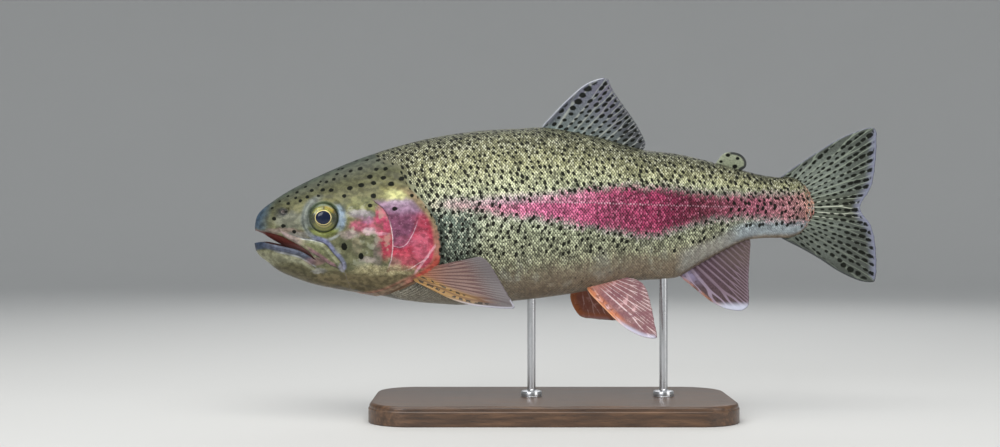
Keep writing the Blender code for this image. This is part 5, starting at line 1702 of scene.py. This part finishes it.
spotTree = finSpots()
finFinish = {name: finMaterial(name, spotTree) for name in finLook}
for name in ("dorsal_fin", "caudal_fin", "adipose_fin", "anal_fin"):
    showPiece(name + "_skin", finMesh(name + "_skin", fins[name], 1), finFinish[name], [name])
for side, sideName in ((1, "left"), (-1, "right")):
    for name in ("pectoral_fin", "pelvic_fin"):
        shape = fins["right_pelvic_fin"] if (name, side) == ("pelvic_fin", -1) else fins[name]
        node = f"{name}_{sideName}"
        showPiece(node + "_skin", finMesh(node + "_skin", shape, side), finFinish[name], [node])
print("scene: fins made")

eyeFinish = eyeMaterial()
for side, sideName in ((1, "left"), (-1, "right")):
    showPiece("eyeball_" + sideName, eyeMesh("eyeball_" + sideName, side), eyeFinish,
              ["eye_" + sideName])
wood, steel = woodMaterial(), steelMaterial()
showPiece("stand_base_wood", baseMesh(), wood, ["stand_base"])
for name, along in stand["rods"].items():
    showPiece(name + "_steel", rodMesh(name, along), steel, [name])
print("scene: eyes and stand made")


studio = dict(
    floorColor=(0.61, 0.61, 0.60),
    bowl=(2.2, 1.4, 3.2),  # flat radius, bend and height of the backdrop
    # name, place, size, power, colour
    lamps=[("top_softbox", (-0.15, -0.35, 1.15), (1.5, 0.9), 13.0, (1.0, 0.98, 0.94)),
           ("front_fill", (-0.9, -1.5, 0.75), (0.9, 0.7), 12.0, (0.97, 0.98, 1.0)),
           ("side_fill", (1.15, -0.9, 0.5), (0.7, 0.9), 5.0, (1.0, 0.98, 0.95)),
           ("back_light", (0.2, 1.1, 0.9), (1.2, 0.8), 4.0, (1.0, 1.0, 1.0))],
    lampsAim=(0.0, 0.0, 0.14),
    world=(0.90, 0.95, 1.0), worldStrength=0.52,
    cameraPlace=(-0.03775, -1.00482, 0.138786), lens=50.0,
)


def makeBackdrop():
    flat, bend, wall = studio["bowl"]
    outline = [(flat * k / 4, 0.0) for k in range(1, 5)]
    for turn in np.arange(1, 13) / 12 * math.pi / 2:
        outline.append((flat + bend * math.sin(turn), bend * (1 - math.cos(turn))))
    points = turned(outline + [(flat + bend, wall)], 96)
    grid = np.arange(points.shape[0] * 96).reshape(-1, 96)
    faces = [face[::-1] for face in gridFaces(grid, closed=True)] + [grid[0][::-1].tolist()]
    mesh = makeMesh("studio_floor", points.reshape(-1, 3), faces)
    material, board, shader = newMaterial("pale_floor", {"Roughness": 0.75})
    tone = studio["floorColor"]
    board.fill(shader, {"Base Color": board.mix(board.noise(400.0, 3), tuple(c * 0.97 for c in tone), tone)})
    mesh.materials.append(material)
    addToScene("studio_floor", mesh)


def makeStudio():
    makeBackdrop()
    for name, place, (wide, high), power, color in studio["lamps"]:
        lamp = bpy.data.lights.new(name, "AREA")
        lamp.shape, lamp.size, lamp.size_y = "RECTANGLE", wide, high
        lamp.energy, lamp.color = power, color
        aim = Vector(studio["lampsAim"]) - Vector(place)
        addToScene(name, lamp, place, aim.to_track_quat("-Z", "Y").to_euler())
    world = bpy.data.worlds.new("studio_air")
    world.use_nodes = True
    air = world.node_tree.nodes["Background"]
    air.inputs["Color"].default_value = (*studio["world"], 1)
    air.inputs["Strength"].default_value = studio["worldStrength"]
    bpy.context.scene.world = world
    bpy.context.scene.view_settings.view_transform = "Standard"
    lens = bpy.data.cameras.new("camera")
    lens.lens, lens.sensor_width = studio["lens"], 36.0
    lens.clip_start, lens.clip_end = 0.01, 50.0
    bpy.context.scene.camera = addToScene("camera", lens, studio["cameraPlace"], (math.pi / 2, 0, 0))


makeStudio()
print("scene: studio ready")
